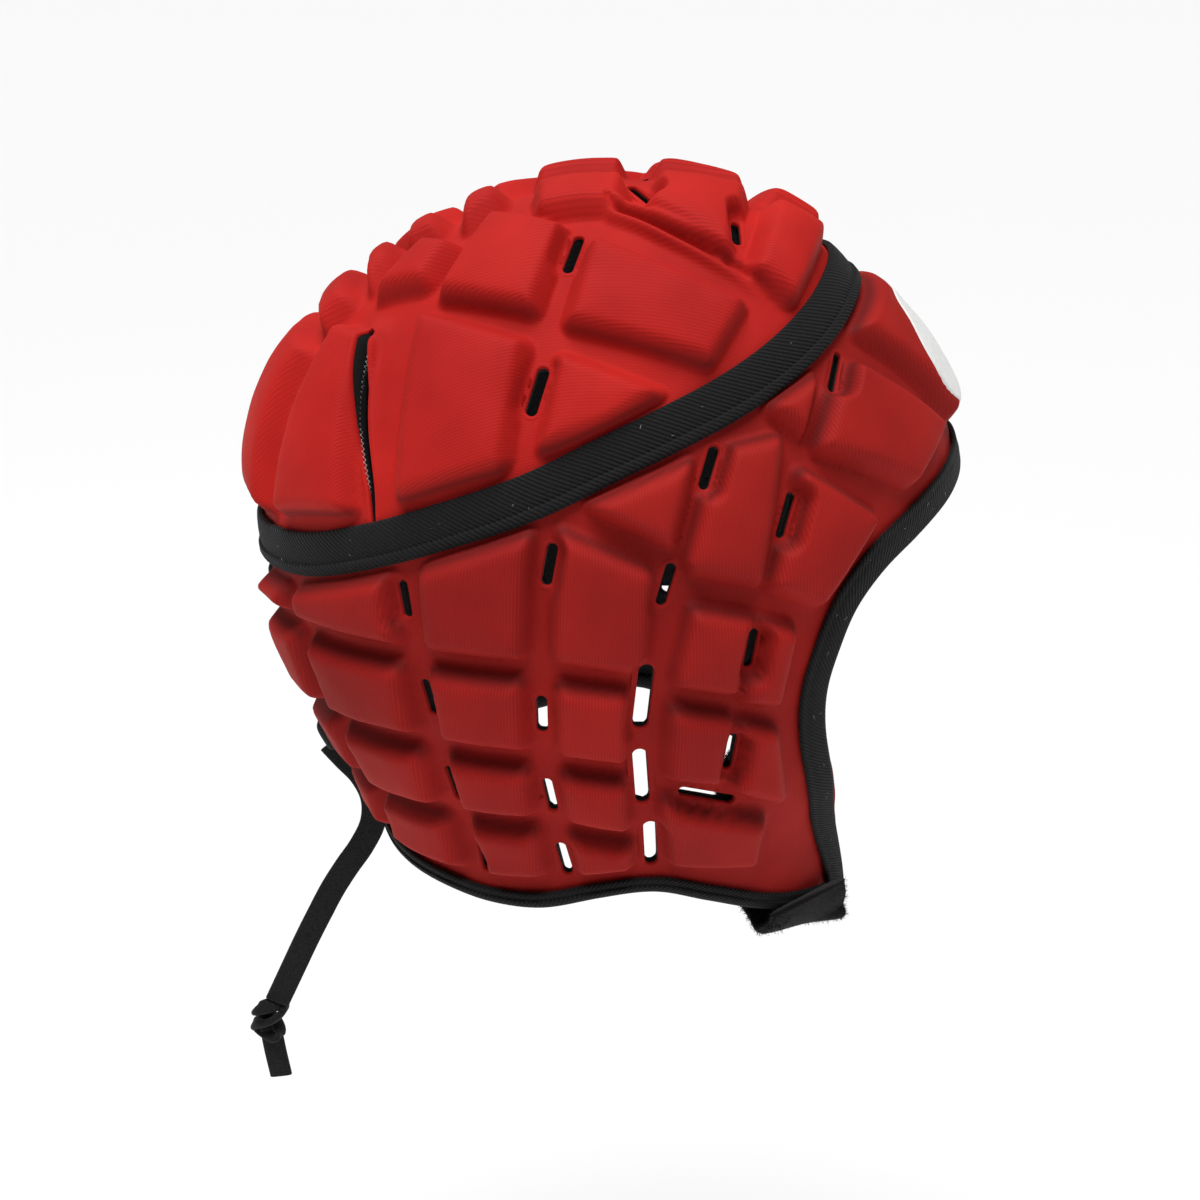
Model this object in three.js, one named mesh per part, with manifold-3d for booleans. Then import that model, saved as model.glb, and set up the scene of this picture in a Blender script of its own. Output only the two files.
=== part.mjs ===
// Padded rugby scrum cap, in millimetres: +X is the face side, +Y the wearer's left, +Z up.
// The origin is the inside apex of the crown, where the cap rests on top of a head.
import * as THREE from 'three';
import { mergeVertices } from 'three/addons/utils/BufferGeometryUtils.js';
import Module from 'manifold-3d';

const wasm = await Module();
wasm.setup();

// Driving sizes of the hollow
const headLength = 204;
const headWidth = 158;
const crownHeight = 112;

// Foam sheet, pads, seams and trims
const wall = 3;
const padHeight = 10;
const padShoulder = 3.4;
const padSpread = 1.3;
const mostInset = 0.3;
const tapeWidth = 12;
const tapeThickness = 1.5;
const tapeFold = 0.6;
const bindingWidth = 8.5;
const hemWidth = 4.5;
const bindingThickness = 1.3;
const foldHeight = 2.6;
const foldWidth = 6;
const slitWidth = 8;
const seat = 0.6;
const hemSeat = 0.78;
const seam = 0.3;
const trimEase = 0.05;
const openingInset = 3;
const trimReach = 9;
const endReach = 5.1;
const hemDrop = 0.7;
const cornerEase = 4.8;
const lowRadius = 0.3 * headLength;

// Chin strap and back lace
const strapWidth = 32;
const strapThickness = 3;
const strapOff = 7.4;
const laceWidth = 8.4;
const laceThickness = 1.8;
const knotWidth = 13;
const knotHeight = 15;
const tailLength = 16;
const laceEase = 4;
const gap = 0.3;

// How finely the sheet and the pads are divided
const stepsAround = 26;
const crownSteps = 5;
const lowerSteps = 6;
const padStep = 32;
const faceEdgeSteps = 14;
const hemSteps = 12;
const strapSteps = 18;
const barSteps = 12;
const laceSteps = 14;
const tailSteps = 6;

// Sections of the hollow by elevation: front and back are shares of headLength, side of headWidth
const sections = [
  { up: -60, front: 0.735, side: 0.823, back: 0.59 },
  { up: -45, front: 0.564, side: 0.614, back: 0.476 },
  { up: -30, front: 0.51, side: 0.544, back: 0.446 },
  { up: -15, front: 0.48, side: 0.506, back: 0.456 },
  { up: 0, front: 0.495, side: 0.494, back: 0.475 },
  { up: 15, front: 0.529, side: 0.5, back: 0.5 },
  { up: 30, front: 0.539, side: 0.525, back: 0.52 },
  { up: 45, front: 0.538, side: 0.563, back: 0.52 },
  { up: 60, front: 0.558, side: 0.614, back: 0.52 },
  { up: 75, front: 0.555, side: 0.677, back: 0.529 },
];
const lowest = sections[0].up;
const top = 90;
const centre = new THREE.Vector3(0, 0, -crownHeight);
const radii = sections.map(
  (s) => new THREE.Vector3(s.front * headLength, s.side * headWidth, s.back * headLength),
);
radii.push(new THREE.Vector3(crownHeight, crownHeight, crownHeight));
const radiusCurve = new THREE.CatmullRomCurve3(radii, false, 'catmullrom', 0.5);

const rad = THREE.MathUtils.degToRad;

// Unit direction from the centre: around 0 is the face, 90 the wearer's right, 180 the back
function aim(around, up) {
  const a = rad(around);
  const u = rad(up);
  return new THREE.Vector3(Math.cos(u) * Math.cos(a), -Math.cos(u) * Math.sin(a), Math.sin(u));
}

// Radius of the hollow in a direction: half ellipses joined at the sides
function radiusAt(direction) {
  const up = THREE.MathUtils.radToDeg(Math.asin(THREE.MathUtils.clamp(direction.z, -1, 1)));
  const r = radiusCurve.getPoint(THREE.MathUtils.clamp((up - lowest) / (top - lowest), 0, 1));
  const flat = Math.hypot(direction.x, direction.y) || 1;
  const along = direction.x / flat;
  const across = direction.y / flat;
  const end = along > 0 ? r.x : r.z;
  return direction.x === 0 && direction.y === 0 ? r.x : 1 / Math.hypot(along / end, across / r.y);
}

// How far a point stands outside the hollow, measured along its ray
function depthOf(point) {
  const arm = point.clone().sub(centre);
  const length = arm.length();
  return length - radiusAt(arm.divideScalar(length));
}

// The point above the hollow in a direction, raised by height along the surface normal
function lift(direction, height) {
  const foot = direction.clone().normalize();
  foot.multiplyScalar(radiusAt(foot)).add(centre);
  return foot.addScaledVector(normalAt(foot), height);
}

function normalAt(foot) {
  const probe = 0.05;
  const slope = new THREE.Vector3();
  for (const axis of ['x', 'y', 'z']) {
    const ahead = foot.clone();
    const behind = foot.clone();
    ahead[axis] += probe;
    behind[axis] -= probe;
    slope[axis] = depthOf(ahead) - depthOf(behind);
  }
  return slope.normalize();
}

// Value of a table at any place between its stations, with straight stretches between them
function along(stations, values, at) {
  const last = stations.length - 1;
  const rising = stations[last] > stations[0];
  let k = 0;
  while (k < last - 1 && (rising ? at > stations[k + 1] : at < stations[k + 1])) k += 1;
  const share = (at - stations[k]) / (stations[k + 1] - stations[k]);
  return THREE.MathUtils.lerp(values[k], values[k + 1], share);
}

// Angle from the face, the same to both sides
function folded(around) {
  return Math.abs(THREE.MathUtils.euclideanModulo(around + 180, 360) - 180);
}

// Seam under the tape, by angle around: high on the forehead, low at the back
const tapeStations = [0, 15, 30, 45, 60, 75, 90, 105, 120, 135, 150, 165, 180];
const tapeUp = [52.8, 52.2, 50.3, 48, 45.5, 42.5, 38, 31.5, 25, 18, 12, 9, 7.5];
const seamUp = (around) => along(tapeStations, tapeUp, folded(around));

// Hem of the lower panel: it rises over the shoulder
const hemStations = [0, 27, 50, 64, 77, 90, 104, 116, 130, 150, 180];
const hemUps = [-51, -51, -50.3, -48.7, -47.3, -48, -49.7, -50.3, -50.6, -51.3, -51.5];
const hemUp = (around) => along(hemStations, hemUps, folded(around));

// Elevation below every edge, to which the cutters for the openings run down
const deepest = -72;

// Grooves that run up and down the lower panel: angle around at each elevation
const columnStations = [40, 25, 10, -2, -20, -35, -50];
const columns = {
  slit: [169.5, 169.5, 169.5, 169.5, 169.5, 169, 168.5],
  nape: [157, 157, 156, 153, 151, 149, 148],
  behindEar: [129, 128, 127, 125.5, 124, 122, 119],
  ear: [100, 100, 101, 101.5, 101, 100, 98],
  beforeEar: [65, 72.5, 78, 80.5, 81, 79.5, 77],
  temple: [38, 52, 57.5, 60.5, 63, 61, 60],
};

// Grooves that run around it: elevation at each angle around
const rowStations = [180, 150, 125, 101, 80];
const rows = {
  upper: [-3, -1.5, -0.5, -0.5, -3],
  middle: [-21, -19.5, -19, -20, -23],
  lower: [-34.5, -37, -34.5, -33.5, -37],
  hem: [-48.5, -48.5, -48.2, -46.4, -44.4],
};
const cheekStations = [80, 62, 47];
const cheekRows = {
  cheekUpper: [16.5, 11.5, 6],
  cheekMiddle: [-5, -9.5, -14],
  cheekLower: [-25.5, -28.5, -34],
};
const tapeEdgeAngle = 4.6;

// Half width left free beside each groove line
const halfGrooves = {
  slit: 1.2,
  nape: 1.2,
  behindEar: 2,
  ear: 2.2,
  beforeEar: 3.2,
  temple: 2,
  tape: 1,
  upper: 1.2,
  middle: 1.2,
  lower: 1,
  hem: 0.2,
  cheekUpper: 1.4,
  cheekMiddle: 1.4,
  cheekLower: 1.4,
};

function rowUp(row, around) {
  if (row === 'tape') return seamUp(around) - tapeEdgeAngle;
  if (row in rows) return along(rowStations, rows[row], around);
  return along(cheekStations, cheekRows[row], around);
}

// Where an up-and-down groove crosses a groove around, found by closing in on it
function crossing(column, row) {
  let up = 0;
  let around = 100;
  for (let turn = 0; turn < 12; turn += 1) {
    around = along(columnStations, columns[column], up);
    up = rowUp(row, around);
  }
  return [around, up];
}

// Pads that fill the cells between those grooves
const cells = [
  { name: 'nape_1', back: 'slit', front: 'nape', top: 'tape', low: 'upper' },
  { name: 'nape_2', back: 'slit', front: 'nape', top: 'upper', low: 'middle' },
  { name: 'nape_3', back: 'slit', front: 'nape', top: 'middle', low: 'lower' },
  { name: 'nape_4', back: 'slit', front: 'nape', top: 'lower', low: 'hem' },
  { name: 'rear_1', back: 'nape', front: 'behindEar', top: 'tape', low: 'upper' },
  { name: 'rear_2', back: 'nape', front: 'behindEar', top: 'upper', low: 'middle' },
  { name: 'rear_3', back: 'nape', front: 'behindEar', top: 'middle', low: 'lower' },
  { name: 'rear_4', back: 'nape', front: 'behindEar', top: 'lower', low: 'hem' },
  { name: 'side_1', back: 'behindEar', front: 'ear', top: 'tape', low: 'upper' },
  { name: 'side_2', back: 'behindEar', front: 'ear', top: 'upper', low: 'middle' },
  { name: 'side_3', back: 'behindEar', front: 'ear', top: 'middle', low: 'lower' },
  { name: 'side_4', back: 'behindEar', front: 'ear', top: 'lower', low: 'hem' },
  { name: 'ear_2', back: 'ear', front: 'beforeEar', top: 'upper', low: 'middle' },
  { name: 'ear_3', back: 'ear', front: 'beforeEar', top: 'middle', low: 'lower' },
  { name: 'ear_4', back: 'ear', front: 'beforeEar', top: 'lower', low: 'hem' },
  { name: 'cheek_2', back: 'beforeEar', front: 'temple', top: 'cheekUpper', low: 'cheekMiddle' },
  { name: 'cheek_3', back: 'beforeEar', front: 'temple', top: 'cheekMiddle', low: 'cheekLower' },
];

// Pads with outlines of their own, each by four corners as [around, up]: the wearer's right side
const shapedPads = [
  { name: 'ear_1', topBack: [99, 27.5], topFront: [79, 19.5], lowFront: [81, -1.5], lowBack: [99.5, 1.5] },
  { name: 'ear_fold', topBack: [95, 30.5], topFront: [69, 38], lowFront: [75.5, 22], lowBack: [84, 26] },
  { name: 'temple_1', topBack: [66, 38.5], topFront: [50, 38], lowFront: [59, 13.5], lowBack: [75, 18.5] },
  { name: 'temple_wedge', topBack: [53, 42.5], topFront: [37, 44.5], lowFront: [41.5, 40], lowBack: [46.5, 35.5] },
  { name: 'brow_low', topBack: [49, 32.5], topFront: [35, 20], lowFront: [48, 7.5], lowBack: [59, 13.5] },
  { name: 'brow_high', topBack: [31, 45.5], topFront: [13, 26.5], lowFront: [27, 21.5], lowBack: [46, 33.5] },
  { name: 'face_2', topBack: [60.5, 9], topFront: [52, 5], lowFront: [54.5, -11], lowBack: [63.5, -8.5] },
  { name: 'face_3', topBack: [63.5, -12], topFront: [54.5, -15], lowFront: [49.5, -32.5], lowBack: [63.5, -28] },
  { name: 'cheek_4', topBack: [79, -27.5], topFront: [53, -34.5], lowFront: [53, -45], lowBack: [75, -43.6] },
];
const crownPads = [
  { name: 'crown_side', topBack: [144, 55], topFront: [109, 56.5], lowFront: [109.5, 35.5], lowBack: [131, 26] },
  { name: 'crown_rear', topBack: [164, 46.5], topFront: [151, 48.5], lowFront: [139, 22], lowBack: [158, 16] },
  { name: 'crown_5', topBack: [168, 64], topFront: [151, 67], lowFront: [146.5, 58.5], lowBack: [161.5, 51.5] },
  { name: 'crown_4', topBack: [155, 73.5], topFront: [104, 75], lowFront: [109, 60], lowBack: [142, 57.5] },
  { name: 'crown_fan', topBack: [95, 73.5], topFront: [45, 57.5], lowFront: [62, 50.4], lowBack: [101.5, 59] },
  { name: 'crown_wedge', topBack: [102, 55.5], topFront: [73, 48.5], lowFront: [88, 43.5], lowBack: [104, 38.5] },
  { name: 'top_rear', topBack: [166, 80.5], topFront: [30, 84.5], lowFront: [74, 78], lowBack: [128, 75.5] },
  { name: 'top_front', topBack: [14, 82], topFront: [3.5, 69], lowFront: [43.5, 64], lowBack: [61, 77] },
  { name: 'brow_top', topBack: [3.5, 66.5], topFront: [2.5, 57.5], lowFront: [35, 54], lowBack: [41.5, 61.5] },
];

// Pads on the middle line, each by its half width in degrees at its top and low edge
const middleCrownPads = [
  { name: 'middle_rear_1', topUp: 40.5, topHalf: 14, lowUp: 14.5, lowHalf: 19 },
  { name: 'middle_rear_2', topUp: 50, topHalf: 13, lowUp: 42.5, lowHalf: 13.5 },
  { name: 'middle_rear_3', topUp: 58, topHalf: 10, lowUp: 52, lowHalf: 15 },
  { name: 'middle_rear_4', topUp: 66.5, topHalf: 11, lowUp: 60, lowHalf: 10 },
  { name: 'middle_rear_5', topUp: 76, topHalf: 16, lowUp: 68.5, lowHalf: 20 },
];
const forehead = { name: 'forehead', topUp: 46.5, topHalf: 24, lowUp: 25, lowHalf: 9 };

// Edge of the face opening, from the middle of the forehead down to the corner of the cheek
const faceEdge = [
  { around: 0, up: 17.5 },
  { around: 16, up: 16 },
  { around: 26, up: 14 },
  { around: 34, up: 11 },
  { around: 39.5, up: 6 },
  { around: 42.5, up: -1 },
  { around: 44, up: -9 },
  { around: 43, up: -18 },
  { around: 39.5, up: -27 },
  { around: 33.5, up: -37 },
  { around: 26, up: -46 },
  { around: 21.5, up: -51 },
];

// Vent slots punched through the grooves, by their two ends as [around, up] and their width
const crownVents = [
  { from: [103, 69], to: [101, 74], width: 2.8 },
  { from: [105, 52], to: [106.5, 46], width: 3.2 },
  { from: [25, 68.5], to: [32, 66.5], width: 2.6 },
  { from: [30, 84.6], to: [44, 80], width: 2.4 },
];
const lowerVents = [
  { from: [129, 12], to: [128, 7], width: 2.8 },
  { from: [99.5, 23], to: [100.5, 17], width: 2.8 },
  { from: [125, -7], to: [124, -13], width: 2.6 },
  { from: [101.5, -8], to: [101.5, -14], width: 3 },
  { from: [123, -26.5], to: [122, -32.5], width: 2.4 },
  { from: [101, -26.5], to: [100, -32], width: 2.6 },
  { from: [119, -43], to: [118, -47], width: 2.4 },
  { from: [99, -41], to: [97.5, -45.5], width: 2.8 },
  { from: [65, 38], to: [68, 33], width: 2.8 },
  { from: [51, 27.5], to: [54, 22], width: 2.6 },
  { from: [29.5, 44.5], to: [35, 41], width: 2.4 },
  { from: [76, 19], to: [78, 13], width: 2.8 },
  { from: [60, 4.5], to: [61, -1.5], width: 2.6 },
  { from: [81, -1.5], to: [82, -12.5], width: 4.2 },
  { from: [82, -20], to: [81, -29.5], width: 3.8 },
  { from: [63, -17.5], to: [63.5, -23.5], width: 2.6 },
  { from: [72.5, -28.5], to: [62, -31], width: 2.8 },
  { from: [79, -36], to: [78, -43.5], width: 3.6 },
];

// Open dart behind the crown: a slit by its stations and width
const openDart = [
  { around: 135.5, up: 20.5, width: 1.2 },
  { around: 137.5, up: 27, width: 2.6 },
  { around: 142, up: 34, width: 3.2 },
  { around: 148, up: 42, width: 3 },
  { around: 153.5, up: 48.5, width: 1.8 },
];

// Closed dart from the crown down to the tape: a raised fold
const closedDart = [
  { around: 84, up: 80 },
  { around: 63, up: 75.5 },
  { around: 49, up: 69 },
  { around: 41, up: 62.5 },
  { around: 39, up: 57 },
];

// Eyelet slots that let the lace through with a little room
const backRadius = sections.find((s) => s.up === 0).back * headLength;
const eyeletWidth = laceThickness + laceEase;
const eyeletAngle = THREE.MathUtils.radToDeg(laceWidth / 2 / backRadius);

// Turns of a lace bar in degrees beyond or within its half angle
const barTurns = { end: 4.5, inner: 1, outer: -0.7, over: -3 };

// Lace bars across the open back: how far they rise off the sheet and tuck in behind it
const laceBars = [
  { name: 'lace_bar_1', up: -3, rise: 5, tuck: 2.5, half: 5.6, eyelet: 5.6 },
  { name: 'lace_bar_2', up: -21, rise: 5, tuck: 2.1, half: 5.8, eyelet: 5.8 },
  { name: 'lace_bar_3', up: -35.5, rise: 15, tuck: 1.75, half: 6, eyelet: 6.2 },
];

// Route of the hanging lace in the middle plane, as x and z, from behind the last bar to the knot
const laceRoute = [
  [-86.9, -177.1],
  [-82.6, -182.6],
  [-77.4, -189],
  [-74.2, -197],
  [-74.6, -206],
  [-78.6, -214.8],
  [-84, -223],
  [-89.2, -231.6],
  [-94.2, -241.4],
  [-99.1, -251.4],
  [-103.8, -261.6],
  [-108.2, -271.2],
  [-110.6, -276.4],
];

// Chin strap: round the cheek's hem by angle and height, then below it by shares of half the
// length and half the width
const strapStations = [
  { around: 39, up: -50.2, off: 1, turn: 0 },
  { around: 39, up: -51.8, off: 1, turn: 0.05 },
  { around: 39, up: -53.9, off: 0.85, turn: 0.1 },
];
const strapUnder = [
  { x: 0.55, y: 0.42, below: 9.4, turn: 0.4 },
  { x: 0.55, y: 0.22, below: 10.8, turn: 0.9 },
  { x: 0.55, y: 0, below: 11.4, turn: 1 },
];
const strapSide = 6;

// Closed solid from points and triangles, with its faces turned outwards
function solid(points, triangles) {
  const geometry = new THREE.BufferGeometry();
  geometry.setAttribute('position', new THREE.Float32BufferAttribute(points.flatMap((p) => [p.x, p.y, p.z]), 3));
  geometry.setIndex(triangles);
  return solidOf(geometry);
}

function solidOf(geometry) {
  const bare = geometry.clone();
  bare.deleteAttribute('normal');
  bare.deleteAttribute('uv');
  const merged = mergeVertices(bare, 1e-4);
  const vertProperties = new Float32Array(merged.attributes.position.array);
  const triVerts = new Uint32Array(merged.index.array);
  const corner = (k) => new THREE.Vector3().fromArray(vertProperties, 3 * triVerts[k]);
  let volume = 0;
  for (let k = 0; k < triVerts.length; k += 3) {
    volume += corner(k).dot(corner(k + 1).cross(corner(k + 2)));
  }
  if (volume < 0) {
    for (let k = 0; k < triVerts.length; k += 3) {
      [triVerts[k], triVerts[k + 1]] = [triVerts[k + 1], triVerts[k]];
    }
  }
  return new wasm.Manifold(new wasm.Mesh({ numProp: 3, vertProperties, triVerts }));
}

// Two triangles for each quad of a grid of points numbered row by row
function gridTriangles(columnsCount, rowsCount, number, wrap) {
  const triangles = [];
  const last = wrap ? columnsCount : columnsCount - 1;
  for (let j = 0; j < rowsCount - 1; j += 1) {
    for (let i = 0; i < last; i += 1) {
      const next = (i + 1) % columnsCount;
      triangles.push(number(i, j), number(next, j), number(next, j + 1));
      triangles.push(number(i, j), number(next, j + 1), number(i, j + 1));
    }
  }
  return triangles;
}

// Sheet of foam all round the head, from a lower line up to an upper line or to the crown
function sheet(lowLine, highLine) {
  const toCrown = highLine === null;
  const stepsUp = toCrown ? crownSteps : lowerSteps;
  const ringCount = toCrown ? stepsUp : stepsUp + 1;
  const points = [];
  for (const height of [0, wall]) {
    for (let j = 0; j < ringCount; j += 1) {
      for (let i = 0; i < stepsAround; i += 1) {
        const around = (360 * i) / stepsAround;
        const low = lowLine(around);
        const high = toCrown ? top : highLine(around);
        points.push(lift(aim(around, THREE.MathUtils.lerp(low, high, j / stepsUp)), height));
      }
    }
  }
  const layer = ringCount * stepsAround;
  const inner = (i, j) => j * stepsAround + i;
  const outer = (i, j) => layer + j * stepsAround + i;
  const triangles = gridTriangles(stepsAround, ringCount, outer, true);
  const inside = gridTriangles(stepsAround, ringCount, inner, true);
  for (let k = 0; k < inside.length; k += 3) triangles.push(inside[k], inside[k + 2], inside[k + 1]);
  const poles = [points.length, points.length + 1];
  if (toCrown) points.push(lift(aim(0, top), 0), lift(aim(0, top), wall));
  for (let i = 0; i < stepsAround; i += 1) {
    const next = (i + 1) % stepsAround;
    triangles.push(inner(i, 0), inner(next, 0), outer(next, 0));
    triangles.push(inner(i, 0), outer(next, 0), outer(i, 0));
    const rim = ringCount - 1;
    if (toCrown) {
      triangles.push(outer(i, rim), outer(next, rim), poles[1]);
      triangles.push(inner(next, rim), inner(i, rim), poles[0]);
    } else {
      triangles.push(outer(i, rim), outer(next, rim), inner(next, rim));
      triangles.push(outer(i, rim), inner(next, rim), inner(i, rim));
    }
  }
  return solid(points, triangles);
}

// Raised pad over four corners: its foot is sunk in the sheet and stands out by the spread, and
// its top is drawn in by the shoulder
function pad(corners, spread) {
  const arms = corners.map(([around, up]) => aim(around, up));
  const spot = (u, v) => {
    const high = arms[0].clone().lerp(arms[1], u);
    const low = arms[3].clone().lerp(arms[2], u);
    return high.lerp(low, v);
  };
  const length = (u0, v0, u1, v1) => lift(spot(u0, v0), 0).distanceTo(lift(spot(u1, v1), 0));
  const across = length(0, 0.5, 1, 0.5);
  const down = length(0.5, 0, 0.5, 1);
  const countU = Math.max(1, Math.round(across / padStep));
  const countV = Math.max(1, Math.round(down / padStep));
  const points = [];
  const layers = [
    { height: wall / 4, inset: -spread },
    { height: padHeight, inset: padShoulder - spread },
  ];
  for (const { height, inset } of layers) {
    const du = Math.min(inset / across, mostInset);
    const dv = Math.min(inset / down, mostInset);
    for (let j = 0; j <= countV; j += 1) {
      for (let i = 0; i <= countU; i += 1) {
        const u = THREE.MathUtils.lerp(du, 1 - du, i / countU);
        const v = THREE.MathUtils.lerp(dv, 1 - dv, j / countV);
        points.push(lift(spot(u, v), height));
      }
    }
  }
  const layer = (countU + 1) * (countV + 1);
  const low = (i, j) => j * (countU + 1) + i;
  const high = (i, j) => layer + j * (countU + 1) + i;
  const triangles = gridTriangles(countU + 1, countV + 1, high, false);
  const foot = gridTriangles(countU + 1, countV + 1, low, false);
  for (let k = 0; k < foot.length; k += 3) triangles.push(foot[k], foot[k + 2], foot[k + 1]);
  const rim = [];
  for (let i = 0; i < countU; i += 1) rim.push([i, 0]);
  for (let j = 0; j < countV; j += 1) rim.push([countU, j]);
  for (let i = countU; i > 0; i -= 1) rim.push([i, countV]);
  for (let j = countV; j > 0; j -= 1) rim.push([0, j]);
  rim.forEach(([i, j], k) => {
    const [m, n] = rim[(k + 1) % rim.length];
    triangles.push(low(i, j), low(m, n), high(m, n), low(i, j), high(m, n), high(i, j));
  });
  return solid(points, triangles);
}

// Draws the corners of a cell in by half of each groove beside it
function drawnIn(corners, { back, front, top: high, low }) {
  const feet = corners.map(([around, up]) => lift(aim(around, up), 0));
  const besides = [back, front, front, back];
  const aboves = [high, high, low, low];
  return feet.map((foot, k) => {
    const across = feet[k ^ 1].clone().sub(foot).setLength(halfGrooves[besides[k]]);
    const down = feet[3 - k].clone().sub(foot).setLength(halfGrooves[aboves[k]]);
    const arm = foot.clone().add(across).add(down).sub(centre);
    const around = THREE.MathUtils.radToDeg(Math.atan2(-arm.y, arm.x));
    return [around, THREE.MathUtils.radToDeg(Math.asin(arm.z / arm.length()))];
  });
}

const mirrored = (corners) => corners.map(([around, up]) => [-around, up]);
const bothSides = (corners, spread) => [pad(corners, spread), pad(mirrored(corners), spread)];
const ownPads = (p) => bothSides([p.topBack, p.topFront, p.lowFront, p.lowBack], padSpread);

function cellPads() {
  return cells.flatMap((cell) => {
    const corners = [
      crossing(cell.back, cell.top),
      crossing(cell.front, cell.top),
      crossing(cell.front, cell.low),
      crossing(cell.back, cell.low),
    ];
    return bothSides(drawnIn(corners, cell), 0);
  });
}

// Pad that lies over the middle line at the back or on the forehead
function middlePad({ topUp, topHalf, lowUp, lowHalf }, middle) {
  return pad([
    [middle + topHalf, topUp],
    [middle - topHalf, topUp],
    [middle - lowHalf, lowUp],
    [middle + lowHalf, lowUp],
  ], padSpread);
}

// Slot cutter standing on the sheet between two ends, right through it
function ventCutter({ from, to, width }) {
  const start = lift(aim(...from), 0);
  const end = lift(aim(...to), 0);
  const middle = start.clone().add(end).multiplyScalar(0.5);
  const x = end.clone().sub(start).normalize();
  const z = normalAt(middle);
  z.addScaledVector(x, -z.dot(x)).normalize();
  const y = z.clone().cross(x);
  const geometry = new THREE.BoxGeometry(start.distanceTo(end) + width, width, 2 * padHeight);
  geometry.translate(0, 0, padHeight / 2);
  geometry.applyMatrix4(new THREE.Matrix4().makeBasis(x, y, z).setPosition(middle));
  return solidOf(geometry);
}

const mirroredVent = ({ from, to, width }) => ({ from: [-from[0], from[1]], to: [-to[0], to[1]], width });

// Carries a section along a line on the head: each section point is [across, height]
function carried(line, sectionAt, closed) {
  const feet = line.map(([around, up]) => lift(aim(around, up), 0));
  const count = feet.length;
  const points = [];
  feet.forEach((foot, i) => {
    const before = feet[closed ? (i + count - 1) % count : Math.max(i - 1, 0)];
    const after = feet[closed ? (i + 1) % count : Math.min(i + 1, count - 1)];
    const forward = after.clone().sub(before).normalize();
    const side = normalAt(foot).cross(forward).normalize();
    for (const [across, height] of sectionAt(i)) {
      points.push(lift(foot.clone().addScaledVector(side, across).sub(centre), height));
    }
  });
  const size = sectionAt(0).length;
  const number = (i, j) => (j % count) * size + i;
  const triangles = gridTriangles(size, closed ? count + 1 : count, number, true);
  if (!closed) {
    const flat = sectionAt(0).map(([across, height]) => new THREE.Vector2(across, height));
    for (const face of THREE.ShapeUtils.triangulateShape(flat, [])) {
      const [a, b, c] = THREE.ShapeUtils.isClockWise(flat) ? [face[0], face[2], face[1]] : face;
      triangles.push(number(a, 0), number(c, 0), number(b, 0));
      triangles.push(number(a, count - 1), number(b, count - 1), number(c, count - 1));
    }
  }
  return solid(points, orientedLike(points, triangles));
}

// Turns the end caps the same way round as the walls they close
function orientedLike(points, triangles) {
  const edges = new Set();
  const kept = [];
  for (let k = 0; k < triangles.length; k += 3) {
    let [a, b, c] = triangles.slice(k, k + 3);
    if ([`${a}_${b}`, `${b}_${c}`, `${c}_${a}`].some((edge) => edges.has(edge))) [b, c] = [c, b];
    edges.add(`${a}_${b}`).add(`${b}_${c}`).add(`${c}_${a}`);
    kept.push(a, b, c);
  }
  return kept;
}

// Slit cutter along stations of a given width, through the whole thickness
function slitCutter(stations, side) {
  const line = stations.map(({ around, up }) => [side * around, up]);
  return carried(line, (i) => {
    const half = stations[i].width / 2;
    return [
      [-half, -padHeight],
      [half, -padHeight],
      [half, 2 * padHeight],
      [-half, 2 * padHeight],
    ];
  }, false);
}

// Raised fold of a closed dart, sunk into the sheet at its foot
function foldRidge(stations, side) {
  const line = stations.map(({ around, up }) => [side * around, up]);
  const half = foldWidth / 2;
  return carried(line, () => [
    [-half, wall / 2],
    [half, wall / 2],
    [half / 3, wall + foldHeight],
    [-half / 3, wall + foldHeight],
  ], false);
}

// Folded binding that holds the sheet's edge between its two leaves
function bindingSection(width, clear) {
  const outside = wall + clear + bindingThickness;
  const inside = -clear - bindingThickness;
  return [
    [width, outside],
    [-bindingThickness, outside],
    [-bindingThickness, inside],
    [width, inside],
    [width, -clear],
    [0, -clear],
    [0, wall + clear],
    [width, wall + clear],
  ];
}

// Smooth line of the face edge, from the right corner over the forehead to the left corner
function faceLine() {
  const right = faceEdge.map((p) => new THREE.Vector3(p.around, p.up, 0));
  const left = right.slice(1).reverse().map((p) => new THREE.Vector3(-p.x, p.y, 0));
  const curve = new THREE.CatmullRomCurve3([...left, ...right]);
  return curve.getSpacedPoints(2 * faceEdgeSteps).map((p) => [p.x, p.y]).reverse();
}

// Large cutter with straight walls towards the centre, over an outline of [around, up] points
function radialCutter(outline) {
  const flat = outline.map(([around, up]) => new THREE.Vector2(around, up));
  const faces = THREE.ShapeUtils.triangulateShape(flat, []);
  const count = outline.length;
  const points = [];
  for (const reach of [0.4, 2.4]) {
    for (const [around, up] of outline) {
      const arm = aim(around, up);
      points.push(arm.clone().multiplyScalar(reach * crownHeight).add(centre));
    }
  }
  const triangles = [];
  for (let i = 0; i < count; i += 1) {
    const next = (i + 1) % count;
    triangles.push(i, next, count + next, i, count + next, count + i);
  }
  for (const [a, b, c] of faces) {
    triangles.push(a, b, c);
    triangles.push(count + a, count + b, count + c);
  }
  return solid(points, orientedLike(points, triangles));
}

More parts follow.
